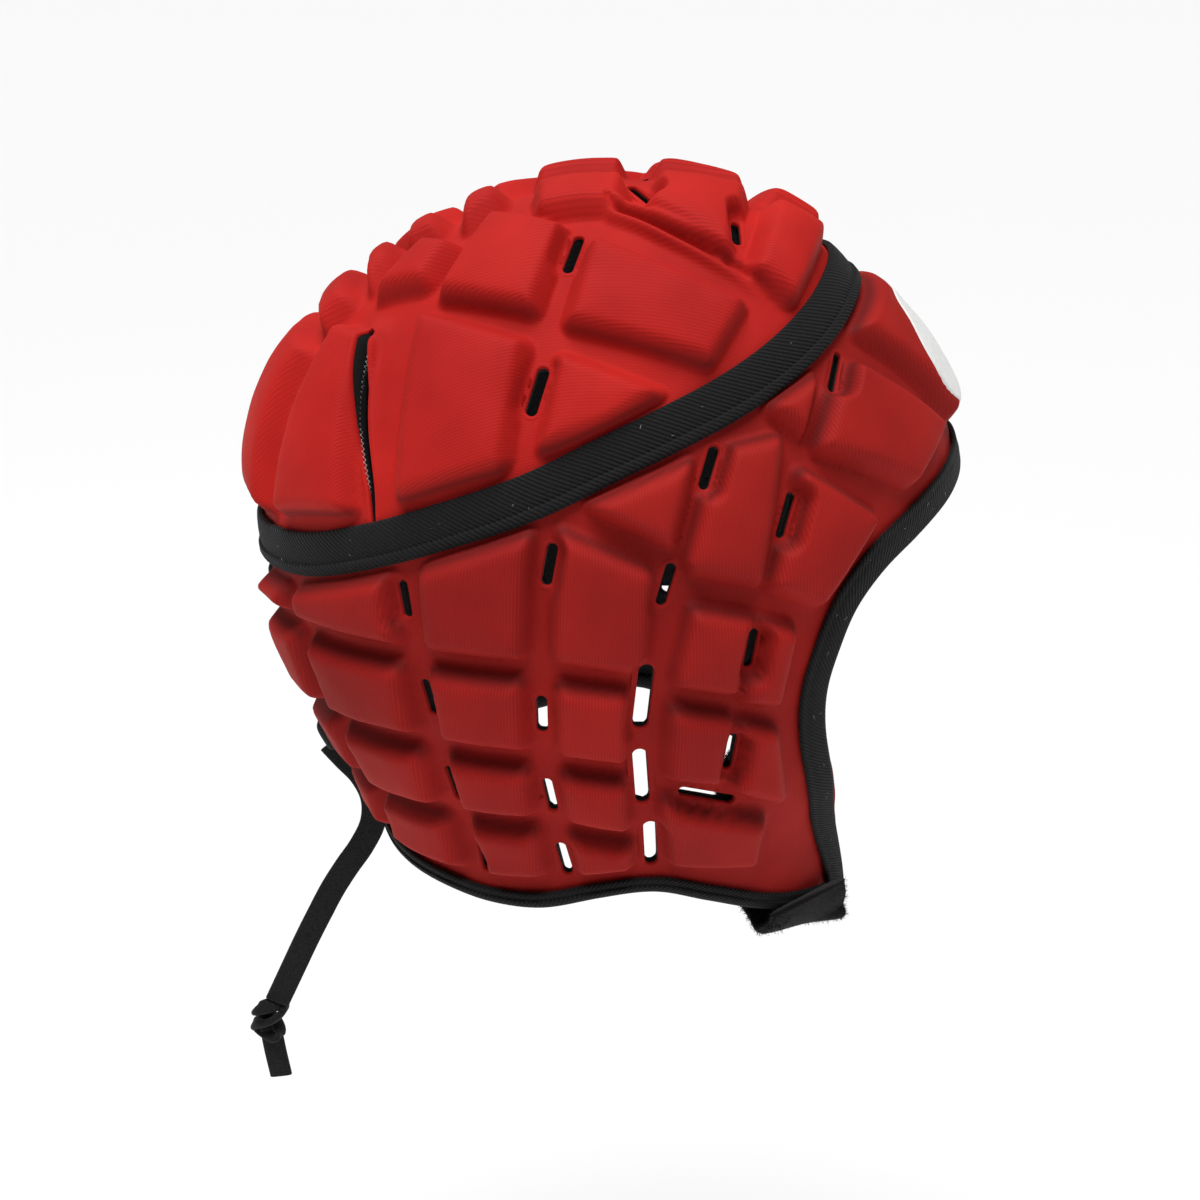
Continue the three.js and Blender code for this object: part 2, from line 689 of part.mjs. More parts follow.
function crownPanel() {
  const edge = THREE.MathUtils.radToDeg(seam / headWidth);
  let body = sheet((around) => seamUp(around) + edge, null);
  for (const raised of crownPads.flatMap(ownPads)) body = body.add(raised);
  for (const p of middleCrownPads) body = body.add(middlePad(p, 180));
  for (const side of [1, -1]) {
    body = body.add(foldRidge(closedDart, side));
    body = body.subtract(slitCutter(openDart, side));
  }
  for (const vent of crownVents) {
    body = body.subtract(ventCutter(vent)).subtract(ventCutter(mirroredVent(vent)));
  }
  return body;
}

function lowerPanel() {
  const edge = THREE.MathUtils.radToDeg(seam / headWidth);
  let body = sheet(hemUp, (around) => seamUp(around) - edge);
  for (const raised of cellPads()) body = body.add(raised);
  for (const raised of shapedPads.flatMap(ownPads)) body = body.add(raised);
  body = body.add(middlePad(forehead, 0));
  for (const cutter of faceCutters()) body = body.subtract(cutter);
  body = body.subtract(backCutter());
  for (const vent of lowerVents) {
    body = body.subtract(ventCutter(vent)).subtract(ventCutter(mirroredVent(vent)));
  }
  for (const bar of laceBars) {
    for (const side of [1, -1]) {
      const around = side * (180 - bar.eyelet);
      const reach = eyeletAngle;
      const vent = { from: [around, bar.up - reach], to: [around, bar.up + reach], width: eyeletWidth };
      body = body.subtract(ventCutter(vent));
    }
  }
  return body;
}

// The face opening, a little inside its edge, and the channel that seats the sheet in its binding
function faceCutters() {
  const line = faceLine();
  const inset = line.map(([around, up], i) => {
    const [a0, u0] = line[Math.max(i - 1, 0)];
    const [a1, u1] = line[Math.min(i + 1, line.length - 1)];
    const share = openingInset / Math.hypot(a1 - a0, u1 - u0);
    return [around - share * (u1 - u0), up + share * (a1 - a0)];
  });
  const [first, last] = [inset[0], inset[inset.length - 1]];
  const opening = radialCutter([[first[0], deepest], ...inset, [last[0], deepest]]);
  const [start, end] = [line[0], line[line.length - 1]];
  const longer = [[start[0], start[1] - endReach], ...line, [end[0], end[1] - endReach]];
  const reach = bindingWidth + seat;
  const trim = carried(longer, () => [
    [-trimReach, -padHeight],
    [reach, -padHeight],
    [reach, -trimEase],
    [seat, -trimEase],
    [seat, wall + trimEase],
    [reach, wall + trimEase],
    [reach, 2 * padHeight],
    [-trimReach, 2 * padHeight],
  ], false);
  return [opening, trim];
}

// Open back below the tape, closed by the lace
function backCutter() {
  const half = THREE.MathUtils.radToDeg(slitWidth / 2 / backRadius);
  const high = seamUp(180) - tapeEdgeAngle - 1;
  return radialCutter([
    [180 - half, deepest],
    [180 + half, deepest],
    [180 + half, high - 3],
    [180 + half / 2, high],
    [180 - half / 2, high],
    [180 - half, high - 3],
  ]);
}

// Woven tape over the seam between the two panels, with a narrow folded edge below
function seamTape() {
  const line = [];
  for (let i = 0; i < stepsAround; i += 1) {
    const around = (360 * i) / stepsAround;
    line.push([around, seamUp(around)]);
  }
  const low = wall + seat;
  const high = low + tapeThickness;
  const half = tapeWidth / 2;
  return carried(line, () => [
    [-half, low],
    [half, low],
    [half, high + tapeFold],
    [half / 2, high + tapeFold],
    [half / 2, high],
    [-half, high],
  ], true);
}

function faceBinding() {
  return carried(faceLine(), () => bindingSection(bindingWidth, seat), false);
}

// Hem binding from the cheek corner round to the open back
function hemBinding(side) {
  const start = faceEdge[faceEdge.length - 1].around;
  const flare = THREE.MathUtils.radToDeg((bindingWidth + cornerEase) / (headWidth / 2));
  const from = start + flare;
  const to = 180 - THREE.MathUtils.radToDeg(slitWidth / 2 / lowRadius);
  const line = [];
  for (let i = 0; i <= hemSteps; i += 1) {
    const around = THREE.MathUtils.lerp(from, to, i / hemSteps);
    line.push([side * around, hemUp(around) - hemDrop]);
  }
  if (side > 0) line.reverse();
  return carried(line, () => bindingSection(hemWidth, hemSeat), false);
}

// Flat band through stations of a middle point and the direction of its width
function band(stations, width, thickness) {
  const points = [];
  stations.forEach(({ middle, broad }, i) => {
    const before = stations[Math.max(i - 1, 0)].middle;
    const after = stations[Math.min(i + 1, stations.length - 1)].middle;
    const forward = after.clone().sub(before).normalize();
    const flatwise = broad.clone().addScaledVector(forward, -broad.dot(forward)).normalize();
    const up = forward.clone().cross(flatwise);
    for (const [w, t] of [[-1, -1], [1, -1], [1, 1], [-1, 1]]) {
      const point = middle.clone().addScaledVector(flatwise, (w * width) / 2);
      points.push(point.addScaledVector(up, (t * thickness) / 2));
    }
  });
  const count = stations.length;
  const number = (i, j) => j * 4 + i;
  const triangles = gridTriangles(4, count, number, true);
  const end = (count - 1) * 4;
  triangles.push(0, 2, 1, 0, 3, 2, end, end + 1, end + 2, end, end + 2, end + 3);
  return solid(points, orientedLike(points, triangles));
}

// Whole chin strap: down the outside of each cheek corner and straight across below the chin
function chinStrap() {
  const level = new THREE.Vector3(1, 0, 0);
  const [{ around: middleAround }] = strapStations;
  const half = strapStations.map(({ around, up, off, turn }) => {
    const spot = (turned) => lift(aim(around + turned, up), off * strapOff);
    const broad = spot(-strapSide).sub(spot(strapSide)).normalize();
    return { middle: spot(0), broad: broad.lerp(level, turn) };
  });
  const hemLevel = lift(aim(middleAround, hemUp(middleAround)), 0).z;
  for (const { x, y, below, turn } of strapUnder) {
    const middle = new THREE.Vector3((x * headLength) / 2, (-y * headWidth) / 2, hemLevel - below);
    half.push({ middle, broad: aim(middleAround - 90, 0).lerp(level, turn) });
  }
  const flip = (v) => new THREE.Vector3(v.x, -v.y, v.z);
  const other = half.slice(0, -1).reverse().map((s) => ({ middle: flip(s.middle), broad: flip(s.broad) }));
  const all = [...half, ...other];
  const middles = new THREE.CatmullRomCurve3(all.map((s) => s.middle), false, 'centripetal');
  const broads = new THREE.CatmullRomCurve3(all.map((s) => s.broad), false, 'centripetal');
  const stations = [];
  for (let i = 0; i <= strapSteps; i += 1) {
    stations.push({ middle: middles.getPoint(i / strapSteps), broad: broads.getPoint(i / strapSteps) });
  }
  return band(stations, strapWidth, strapThickness);
}

// Bar of lace from inside one flap, out through its eyelet, over the open back and in again
function laceBar({ up, rise, tuck, half }) {
  const bend = wall / 2;
  const turns = [
    { around: half + barTurns.end, height: -tuck },
    { around: half + barTurns.inner, height: gap - tuck },
    { around: half, height: bend },
    { around: half + barTurns.outer, height: rise - bend },
    { around: half + barTurns.over, height: rise },
  ];
  const right = turns.map((t) => lift(aim(180 - t.around, up), t.height));
  const left = turns.map((t) => lift(aim(180 + t.around, up), t.height)).reverse();
  const curve = new THREE.CatmullRomCurve3([...right, ...left], false, 'centripetal');
  const broad = lift(aim(180, up + 4), 0).sub(lift(aim(180, up - 4), 0)).normalize();
  const stations = curve.getPoints(barSteps).map((middle) => ({ middle, broad }));
  return band(stations, laceWidth, laceThickness);
}

// Flat section of the hanging lace: thin across the cap, wide in the middle plane
function laceSection() {
  const shape = new THREE.Shape();
  const w = laceWidth / 2;
  const t = laceThickness / 2;
  const cut = t * 0.8;
  shape.moveTo(-t, -w + cut);
  shape.lineTo(-t + cut, -w);
  shape.lineTo(t - cut, -w);
  shape.lineTo(t, -w + cut);
  shape.lineTo(t, w - cut);
  shape.lineTo(t - cut, w);
  shape.lineTo(-t + cut, w);
  shape.lineTo(-t, w - cut);
  shape.closePath();
  return shape;
}

function route(points) {
  return new THREE.CatmullRomCurve3(points.map(([x, z]) => new THREE.Vector3(x, 0, z)), false, 'centripetal');
}

function backLace() {
  const extrudePath = route(laceRoute);
  return solidOf(new THREE.ExtrudeGeometry(laceSection(), { steps: laceSteps, extrudePath }));
}

// Overhand knot at the lace's end, with its short tail hanging from it
function laceKnot() {
  const [x1, z1] = laceRoute[laceRoute.length - 1];
  const [x0, z0] = laceRoute[laceRoute.length - 2];
  const way = new THREE.Vector3(x1 - x0, 0, z1 - z0).normalize();
  const middle = new THREE.Vector3(x1, 0, z1).addScaledVector(way, knotHeight / 2 + gap);
  const knot = new THREE.SphereGeometry(1, 8, 6).rotateX(Math.PI / 2);
  knot.scale(knotWidth / 2, knotWidth / 3, knotHeight / 2);
  knot.rotateY(Math.atan2(way.x, way.z) + Math.PI);
  knot.translate(middle.x, middle.y, middle.z);
  const tail = route([
    [middle.x, middle.z],
    [middle.x + 1.2, middle.z - knotHeight / 2 - tailLength / 3],
    [middle.x + 2.6, middle.z - knotHeight / 2 - tailLength],
  ]);
  const end = new THREE.ExtrudeGeometry(laceSection(), { steps: tailSteps, extrudePath: tail });
  return solidOf(knot).add(solidOf(end));
}

// Mesh of a finished solid, named and coloured
function piece(name, body, look) {
  const mesh = body.getMesh();
  const geometry = new THREE.BufferGeometry();
  geometry.setAttribute('position', new THREE.Float32BufferAttribute(mesh.vertProperties, 3));
  geometry.setIndex(new THREE.Uint32BufferAttribute(mesh.triVerts, 1));
  geometry.computeVertexNormals();
  const made = new THREE.Mesh(geometry, new THREE.MeshStandardMaterial(look));
  made.name = name;
  return made;
}

const redKnit = { color: 0xb8201c, roughness: 0.75, metalness: 0 };
const blackTape = { color: 0x1d1d1f, roughness: 0.85, metalness: 0 };
const blackPile = { color: 0x161616, roughness: 0.95, metalness: 0 };

const cap = new THREE.Group();
cap.add(piece('crown_panel', crownPanel(), redKnit));
cap.add(piece('lower_panel', lowerPanel(), redKnit));
cap.add(piece('seam_tape', seamTape(), blackTape));
cap.add(piece('face_binding', faceBinding(), blackTape));
cap.add(piece('hem_binding_right', hemBinding(1), blackTape));
cap.add(piece('hem_binding_left', hemBinding(-1), blackTape));
cap.add(piece('chin_strap', chinStrap(), blackPile));
for (const bar of laceBars) cap.add(piece(bar.name, laceBar(bar), blackPile));
cap.add(piece('back_lace', backLace(), blackPile));
cap.add(piece('lace_knot', laceKnot(), blackPile));

export default cap;
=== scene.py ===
import bmesh
import bpy
import numpy as np
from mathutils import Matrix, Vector


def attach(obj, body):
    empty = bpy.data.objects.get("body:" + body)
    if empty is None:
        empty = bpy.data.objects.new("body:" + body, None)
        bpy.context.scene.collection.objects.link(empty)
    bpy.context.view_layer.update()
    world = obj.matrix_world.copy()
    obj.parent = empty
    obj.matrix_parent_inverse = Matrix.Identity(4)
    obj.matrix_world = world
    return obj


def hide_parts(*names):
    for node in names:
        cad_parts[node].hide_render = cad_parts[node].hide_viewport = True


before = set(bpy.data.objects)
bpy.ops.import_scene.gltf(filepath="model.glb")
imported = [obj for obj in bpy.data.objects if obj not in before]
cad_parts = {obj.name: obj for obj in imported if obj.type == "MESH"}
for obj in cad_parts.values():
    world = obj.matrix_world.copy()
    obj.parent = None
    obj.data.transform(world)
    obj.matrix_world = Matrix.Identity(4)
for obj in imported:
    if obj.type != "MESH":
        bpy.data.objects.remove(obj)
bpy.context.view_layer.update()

mm = 0.001

# The hollow that the cap is moulded to, in millimetres. Each section: elevation, then front as a
# share of the length, side as a share of the width and back as a share of the length.
form = {
    "length": 204.0,
    "width": 158.0,
    "crown": 112.0,
    "wall": 3.0,
    "sections": [
        (-60, 0.735, 0.823, 0.590),
        (-45, 0.564, 0.614, 0.476),
        (-30, 0.510, 0.544, 0.446),
        (-15, 0.480, 0.506, 0.456),
        (0, 0.495, 0.494, 0.475),
        (15, 0.529, 0.500, 0.500),
        (30, 0.539, 0.525, 0.520),
        (45, 0.538, 0.563, 0.520),
        (60, 0.558, 0.614, 0.520),
        (75, 0.555, 0.677, 0.529),
    ],
}
centre = np.array([0.0, 0.0, -form["crown"]])

# Camera at the photograph's viewing angle: level with the crown, looking down at the right side
view = {"lens": 57.6, "place": (0, -0.5523, 0.1074), "target": (0, 0, -0.127)}
camera = bpy.data.objects.new("camera", bpy.data.cameras.new("camera"))
bpy.context.scene.collection.objects.link(camera)
camera.data.lens = view["lens"]
camera.data.sensor_width = 36
camera.data.clip_start = 0.01
camera.location = view["place"]
camera.rotation_mode = "QUATERNION"
towards = Vector(view["target"]) - Vector(view["place"])
camera.rotation_quaternion = towards.to_track_quat("-Z", "Y")
bpy.context.scene.camera = camera
bpy.context.scene.view_settings.view_transform = "Standard"


# Distance of each point from the first, along the line through them
def runOf(points):
    step = np.linalg.norm(np.diff(points, axis=0), axis=1)
    return np.concatenate([[0], np.cumsum(step)])


# A smooth run of points through given ones: on each span a cubic whose end slopes come from the
# neighbours, weighted by the root of the chord lengths, then spaced evenly by arc length.
def throughPoints(points, count):
    p = np.asarray(points, float)
    p = np.vstack([2 * p[0] - p[1], p, 2 * p[-1] - p[-2]])
    p0, p1, p2, p3 = p[:-3], p[1:-2], p[2:-1], p[3:]
    d0, d1, d2 = (np.linalg.norm(b - a, axis=1, keepdims=True) ** 0.5
                  for a, b in ((p0, p1), (p1, p2), (p2, p3)))
    m1 = ((p1 - p0) / d0 - (p2 - p0) / (d0 + d1) + (p2 - p1) / d1) * d1
    m2 = ((p2 - p1) / d1 - (p3 - p1) / (d1 + d2) + (p3 - p2) / d2) * d1
    t = np.linspace(0, 1, 24, endpoint=False)[None, :, None]
    m1, m2, p1, p2 = (a[:, None, :] for a in (m1, m2, p1, p2))
    run = (2 * t**3 - 3 * t**2 + 1) * p1 + (t**3 - 2 * t**2 + t) * m1
    run = run + (3 * t**2 - 2 * t**3) * p2 + (t**3 - t**2) * m2
    run = np.vstack([run.reshape(-1, p.shape[1]), p[-2]])
    at = runOf(run)
    want = np.linspace(0, at[-1], count)
    return np.stack([np.interp(want, at, run[:, k]) for k in range(run.shape[1])], axis=1)


# Smooth table lookup: a cubic between stations with slopes from the neighbours, level at both ends
def smoothLookup(x, stations, values):
    xs, ys = np.asarray(stations, float), np.asarray(values, float)
    if xs[0] > xs[-1]:
        xs, ys = xs[::-1], ys[::-1]
    slope = np.gradient(ys, xs)
    slope[[0, -1]] = 0
    x = np.clip(x, xs[0], xs[-1])
    k = np.clip(np.searchsorted(xs, x) - 1, 0, len(xs) - 2)
    h = xs[k + 1] - xs[k]
    t = (x - xs[k]) / h
    low = (2 * t**3 - 3 * t**2 + 1) * ys[k] + (t**3 - 2 * t**2 + t) * h * slope[k]
    return low + (3 * t**2 - 2 * t**3) * ys[k + 1] + (t**3 - t**2) * h * slope[k + 1]


# Unit direction from the centre: around 0 is the face, 90 the wearer's right, 180 the back
def aim(around, up):
    a, u = np.radians(around), np.radians(up)
    return np.stack([np.cos(u) * np.cos(a), -np.cos(u) * np.sin(a), np.sin(u) + 0 * a], axis=-1)


sectionRows = np.array([
    (front * form["length"], side * form["width"], rear * form["length"])
    for _, front, side, rear in form["sections"]
])
sectionRows = np.vstack([sectionRows, np.full(3, form["crown"])])
beyond = 2 * sectionRows[[0, -1]] - sectionRows[[1, -2]]
sectionRows = np.vstack([beyond[0], sectionRows, beyond[1]])
lowestUp = form["sections"][0][0]


# Radius of the hollow: the sections joined by cubics over the elevation, and within one
# elevation two half ellipses, one to the front and one to the back, that share the side radius.
def radiusAt(direction):
    up = np.degrees(np.arcsin(np.clip(direction[..., 2], -1, 1)))
    spans = len(sectionRows) - 3
    at = np.clip((up - lowestUp) / (90 - lowestUp), 0, 1) * spans
    k = np.minimum(at.astype(int), spans - 1)
    t = (at - k)[..., None]
    p0, p1, p2, p3 = (sectionRows[k + n] for n in range(4))
    r = p1 + 0.5 * t * (p2 - p0 + t * (2 * p0 - 5 * p1 + 4 * p2 - p3 + t * (3 * (p1 - p2) + p3 - p0)))
    flat = np.hypot(direction[..., 0], direction[..., 1])
    flat = np.where(flat < 1e-9, 1, flat)
    ahead, across = direction[..., 0] / flat, direction[..., 1] / flat
    end = np.where(ahead > 0, r[..., 0], r[..., 2])
    blend = 1 / np.maximum(np.hypot(ahead / end, across / r[..., 1]), 1e-9)
    return np.where(np.hypot(ahead, across) < 0.5, r[..., 0], blend)


# How far a point stands outside the hollow along its ray
def depthOf(point):
    arm = point - centre
    length = np.linalg.norm(arm, axis=-1)
    return length - radiusAt(arm / length[..., None])


# Outward normal: the gradient of that depth, from two probes on each axis
def normalAt(point, probe=0.05):
    slope = np.stack(
        [depthOf(point + probe * axis) - depthOf(point - probe * axis) for axis in np.eye(3)], axis=-1
    )
    return slope / np.linalg.norm(slope, axis=-1, keepdims=True)


# A vector brought to length one
def unit(v):
    return v / np.maximum(np.linalg.norm(v, axis=-1, keepdims=True), 1e-12)


# The point over the hollow in a direction, raised along the normal by a height in millimetres
def lift(direction, height):
    direction = unit(direction)
    foot = direction * radiusAt(direction)[..., None] + centre
    return foot + normalAt(foot) * np.asarray(height)[..., None]


# The angles around and up of a point, seen from the centre
def anglesOf(point):
    arm = unit(point - centre)
    return np.degrees(np.arctan2(-arm[..., 1], arm[..., 0])), np.degrees(np.arcsin(arm[..., 2]))


# Seam under the tape and hem, each as elevations by angle around
seam = {
    "around": [0, 15, 30, 45, 60, 75, 90, 105, 120, 135, 150, 165, 180],
    "up": [52.8, 52.2, 50.3, 48, 45.5, 42.5, 38, 31.5, 25, 18, 12, 9, 7.5],
    "hemAround": [0, 27, 50, 64, 77, 90, 104, 116, 130, 150, 180],
    "hem": [-51, -51, -50.3, -48.7, -47.3, -48, -49.7, -50.3, -50.6, -51.3, -51.5],
}


# The angle from the face, the same on both sides
def fromFace(around):
    return np.abs((np.asarray(around) + 180) % 360 - 180)


def seamUp(around):
    return smoothLookup(fromFace(around), seam["around"], seam["up"])


def hemUp(around):
    return smoothLookup(fromFace(around), seam["hemAround"], seam["hem"])


# The grooves of the lower panel, and the cells of padding between them: half widths in
# millimetres, then where the grooves run, in degrees
grooves = {
    "half": {
        "slit": 1.2, "nape": 1.2, "behindEar": 2.0, "ear": 2.2, "beforeEar": 3.2, "temple": 2.0,
        "tape": 1.0, "upper": 1.2, "middle": 1.2, "lower": 1.0, "hem": 0.2,
        "cheekUpper": 1.4, "cheekMiddle": 1.4, "cheekLower": 1.4,
    },
    "belowSeam": 4.6,  # from the seam down to the tape's lower edge
    "columnUp": [40, 25, 10, -2, -20, -35, -50],
    "columns": {
        "slit": [169.5, 169.5, 169.5, 169.5, 169.5, 169, 168.5],
        "nape": [157, 157, 156, 153, 151, 149, 148],
        "behindEar": [129, 128, 127, 125.5, 124, 122, 119],
        "ear": [100, 100, 101, 101.5, 101, 100, 98],
        "beforeEar": [65, 72.5, 78, 80.5, 81, 79.5, 77],
        "temple": [38, 52, 57.5, 60.5, 63, 61, 60],
    },
    "rowAround": [180, 150, 125, 101, 80],
    "rows": {
        "upper": [-3, -1.5, -0.5, -0.5, -3],
        "middle": [-21, -19.5, -19, -20, -23],
        "lower": [-34.5, -37, -34.5, -33.5, -37],
        "hem": [-48.5, -48.5, -48.2, -46.4, -44.4],
    },
    "cheekAround": [80, 62, 47],
    "cheekRows": {
        "cheekUpper": [16.5, 11.5, 6],
        "cheekMiddle": [-5, -9.5, -14],
        "cheekLower": [-25.5, -28.5, -34],
    },
    "cells": [
        ("slit", "nape", "tape", "upper"), ("slit", "nape", "upper", "middle"),
        ("slit", "nape", "middle", "lower"), ("slit", "nape", "lower", "hem"),
        ("nape", "behindEar", "tape", "upper"), ("nape", "behindEar", "upper", "middle"),
        ("nape", "behindEar", "middle", "lower"), ("nape", "behindEar", "lower", "hem"),
        ("behindEar", "ear", "tape", "upper"), ("behindEar", "ear", "upper", "middle"),
        ("behindEar", "ear", "middle", "lower"), ("behindEar", "ear", "lower", "hem"),
        ("ear", "beforeEar", "upper", "middle"), ("ear", "beforeEar", "middle", "lower"),
        ("ear", "beforeEar", "lower", "hem"), ("beforeEar", "temple", "cheekUpper", "cheekMiddle"),
        ("beforeEar", "temple", "cheekMiddle", "cheekLower"),
    ],
}


# Straight table lookup that goes on in line past both ends
def straightLookup(x, stations, values):
    xs, ys = np.asarray(stations, float), np.asarray(values, float)
    if xs[0] > xs[-1]:
        xs, ys = xs[::-1], ys[::-1]
    low = ys[0] + (ys[1] - ys[0]) / (xs[1] - xs[0]) * (x - xs[0])
    high = ys[-1] + (ys[-1] - ys[-2]) / (xs[-1] - xs[-2]) * (x - xs[-1])
    return np.where(x < xs[0], low, np.where(x > xs[-1], high, np.interp(x, xs, ys)))


# Where an up-and-down groove crosses one that runs around, found by closing in on it
def crossing(column, row):
    around, up = 100.0, 0.0
    for _ in range(12):
        around = straightLookup(up, grooves["columnUp"], grooves["columns"][column])
        if row == "tape":
            up = seamUp(around) - grooves["belowSeam"]
        elif row in grooves["rows"]:
            up = straightLookup(around, grooves["rowAround"], grooves["rows"][row])
        else:
            up = straightLookup(around, grooves["cheekAround"], grooves["cheekRows"][row])
    return float(around), float(up)


# The corners of a cell, drawn in by half of each groove beside it
def cellCorners(back, front, top, low):
    angles = [crossing(c, r) for c, r in ((back, top), (front, top), (front, low), (back, low))]
    feet = lift(aim(*np.array(angles).T), np.zeros(4))
    across, down = unit(feet[[1, 0, 3, 2]] - feet), unit(feet[[3, 2, 1, 0]] - feet)
    half = grooves["half"]
    besides = np.array([half[back], half[front], half[front], half[back]])[:, None]
    aboves = np.array([half[top], half[top], half[low], half[low]])[:, None]
    return np.stack(anglesOf(feet + besides * across + aboves * down), axis=1)


# Pads with outlines of their own, each by four corners as (around, up): back and front of its
# top edge, then front and back of its low edge. All but the middle ones are mirrored.
shapedPads = {
    "ear_1": [(99, 27.5), (79, 19.5), (81, -1.5), (99.5, 1.5)],
    "ear_fold": [(95, 30.5), (69, 38), (75.5, 22), (84, 26)],
    "temple_1": [(66, 38.5), (50, 38), (59, 13.5), (75, 18.5)],
    "temple_wedge": [(53, 42.5), (37, 44.5), (41.5, 40), (46.5, 35.5)],
    "brow_low": [(49, 32.5), (35, 20), (48, 7.5), (59, 13.5)],
    "brow_high": [(31, 45.5), (13, 26.5), (27, 21.5), (46, 33.5)],
    "face_2": [(60.5, 9), (52, 5), (54.5, -11), (63.5, -8.5)],
    "face_3": [(63.5, -12), (54.5, -15), (49.5, -32.5), (63.5, -28)],
    "cheek_4": [(79, -27.5), (53, -34.5), (53, -45), (75, -43.6)],
}
crownPads = {
    "crown_side": [(144, 55), (109, 56.5), (109.5, 35.5), (131, 26)],
    "crown_rear": [(164, 46.5), (151, 48.5), (139, 22), (158, 16)],
    "crown_5": [(168, 64), (151, 67), (146.5, 58.5), (161.5, 51.5)],
    "crown_4": [(155, 73.5), (104, 75), (109, 60), (142, 57.5)],
    "crown_fan": [(95, 73.5), (45, 57.5), (62, 50.4), (101.5, 59)],
    "crown_wedge": [(102, 55.5), (73, 48.5), (88, 43.5), (104, 38.5)],
    "top_rear": [(166, 80.5), (30, 84.5), (74, 78), (128, 75.5)],
    "top_front": [(14, 82), (3.5, 69), (43.5, 64), (61, 77)],
    "brow_top": [(3.5, 66.5), (2.5, 57.5), (35, 54), (41.5, 61.5)],
}
middlePads = {  # top elevation and half width, low elevation and half width
    "middle_rear_1": (40.5, 14, 14.5, 19),
    "middle_rear_2": (50, 13, 42.5, 13.5),
    "middle_rear_3": (58, 10, 52, 15),
    "middle_rear_4": (66.5, 11, 60, 10),
    "middle_rear_5": (76, 16, 68.5, 20),
}
foreheadPad = (46.5, 24, 25, 9)


def middleCorners(topUp, topHalf, lowUp, lowHalf, around):
    return [
        (around + topHalf, topUp), (around - topHalf, topUp),
        (around - lowHalf, lowUp), (around + lowHalf, lowUp),
    ]


# Each outline and its mirror image
def mirroredToo(outlines):
    return [np.array(outline) * (side, 1) for outline in outlines for side in (1, -1)]


padding = {
    "spread": 1.3,  # how far a pad's foot stands outside its own outline
    "slope": 1.65,  # rise of the wall for each millimetre inwards
    "rise": 6.5,
    "round": 0.9,  # softness of the top edge
    "cornerRadius": 4.5,
    "dome": 0.9,
    "domeWidth": 6.0,
    "domeFrom": 0.7,  # share of the wall that is climbed where the dome begins
    "margin": 3.0,  # how far past its corners a pad is worked out
}
crownOutlines = mirroredToo(crownPads.values())
crownOutlines += [np.array(middleCorners(*m, 180)) for m in middlePads.values()]
lowerOutlines = mirroredToo(shapedPads.values()) + [np.array(middleCorners(*foreheadPad, 0))]
cellOutlines = mirroredToo([cellCorners(*c) for c in grooves["cells"]])


# Height of the pads over the sheet. In each pad's own plane every side gives a distance inwards;
# the distances are joined so that corners round off at the corner radius. The wall climbs with
# its slope and goes over softly into the rise, as a smooth minimum, with a low dome on top.
def padRelief(base, outlines, spread):
    height = np.zeros(base.shape[:-1])
    for corners in outlines:
        feet = lift(aim(corners[:, 0], corners[:, 1]), np.full(4, form["wall"]))
        heart = feet.mean(axis=0)
        normal = normalAt(heart)
        e1 = unit(feet[1] - feet[0] - normal * np.dot(feet[1] - feet[0], normal))
        e2 = np.cross(normal, e1)
        reach = np.linalg.norm(feet - heart, axis=1).max() + padding["margin"]
        near = np.linalg.norm(base - heart, axis=-1) < reach
        spot = base[near] - heart
        q = np.stack([spot @ e1, spot @ e2], axis=-1)
        c = np.stack([(feet - heart) @ e1, (feet - heart) @ e2], axis=-1)
        side = np.roll(c, -1, axis=0) - c
        inward = np.stack([-side[:, 1], side[:, 0]], axis=1)
        inward = unit(inward * np.sign((inward * -c).sum(axis=1))[:, None])
        d = ((q[:, None, :] - c[None]) * inward[None]).sum(axis=-1) + spread
        r = padding["cornerRadius"]
        corner = r - np.linalg.norm(np.maximum(r - d, 0), axis=-1)
        nearest = np.where(corner < r - 1e-6, corner, d.min(axis=-1))
        ramp, k, full = padding["slope"] * nearest, padding["round"], padding["rise"]
        rise = -k * np.log(np.exp(-np.clip(ramp, -60, 60) / k) + np.exp(-full / k))
        past = np.maximum(nearest - padding["domeFrom"] * full / padding["slope"], 0)
        rise = rise + padding["dome"] * (1 - np.exp(-past / padding["domeWidth"]))
        height[near] = np.maximum(height[near], rise)
    return height


# Slots punched through the grooves, by their two ends as (around, up) and their width
crownVents = [
    ((103, 69), (101, 74), 2.8), ((105, 52), (106.5, 46), 3.2), ((25, 68.5), (32, 66.5), 2.6),
    ((30, 84.6), (44, 80), 2.4),
]
lowerVents = [
    ((129, 12), (128, 7), 2.8), ((99.5, 23), (100.5, 17), 2.8), ((125, -7), (124, -13), 2.6),
    ((101.5, -8), (101.5, -14), 3.0), ((123, -26.5), (122, -32.5), 2.4), ((101, -26.5), (100, -32), 2.6),
    ((119, -43), (118, -47), 2.4), ((99, -41), (97.5, -45.5), 2.8), ((65, 38), (68, 33), 2.8),
    ((51, 27.5), (54, 22), 2.6), ((29.5, 44.5), (35, 41), 2.4), ((76, 19), (78, 13), 2.8),
    ((60, 4.5), (61, -1.5), 2.6), ((81, -1.5), (82, -12.5), 4.2), ((82, -20), (81, -29.5), 3.8),
    ((63, -17.5), (63.5, -23.5), 2.6), ((72.5, -28.5), (62, -31), 2.8), ((79, -36), (78, -43.5), 3.6),
]
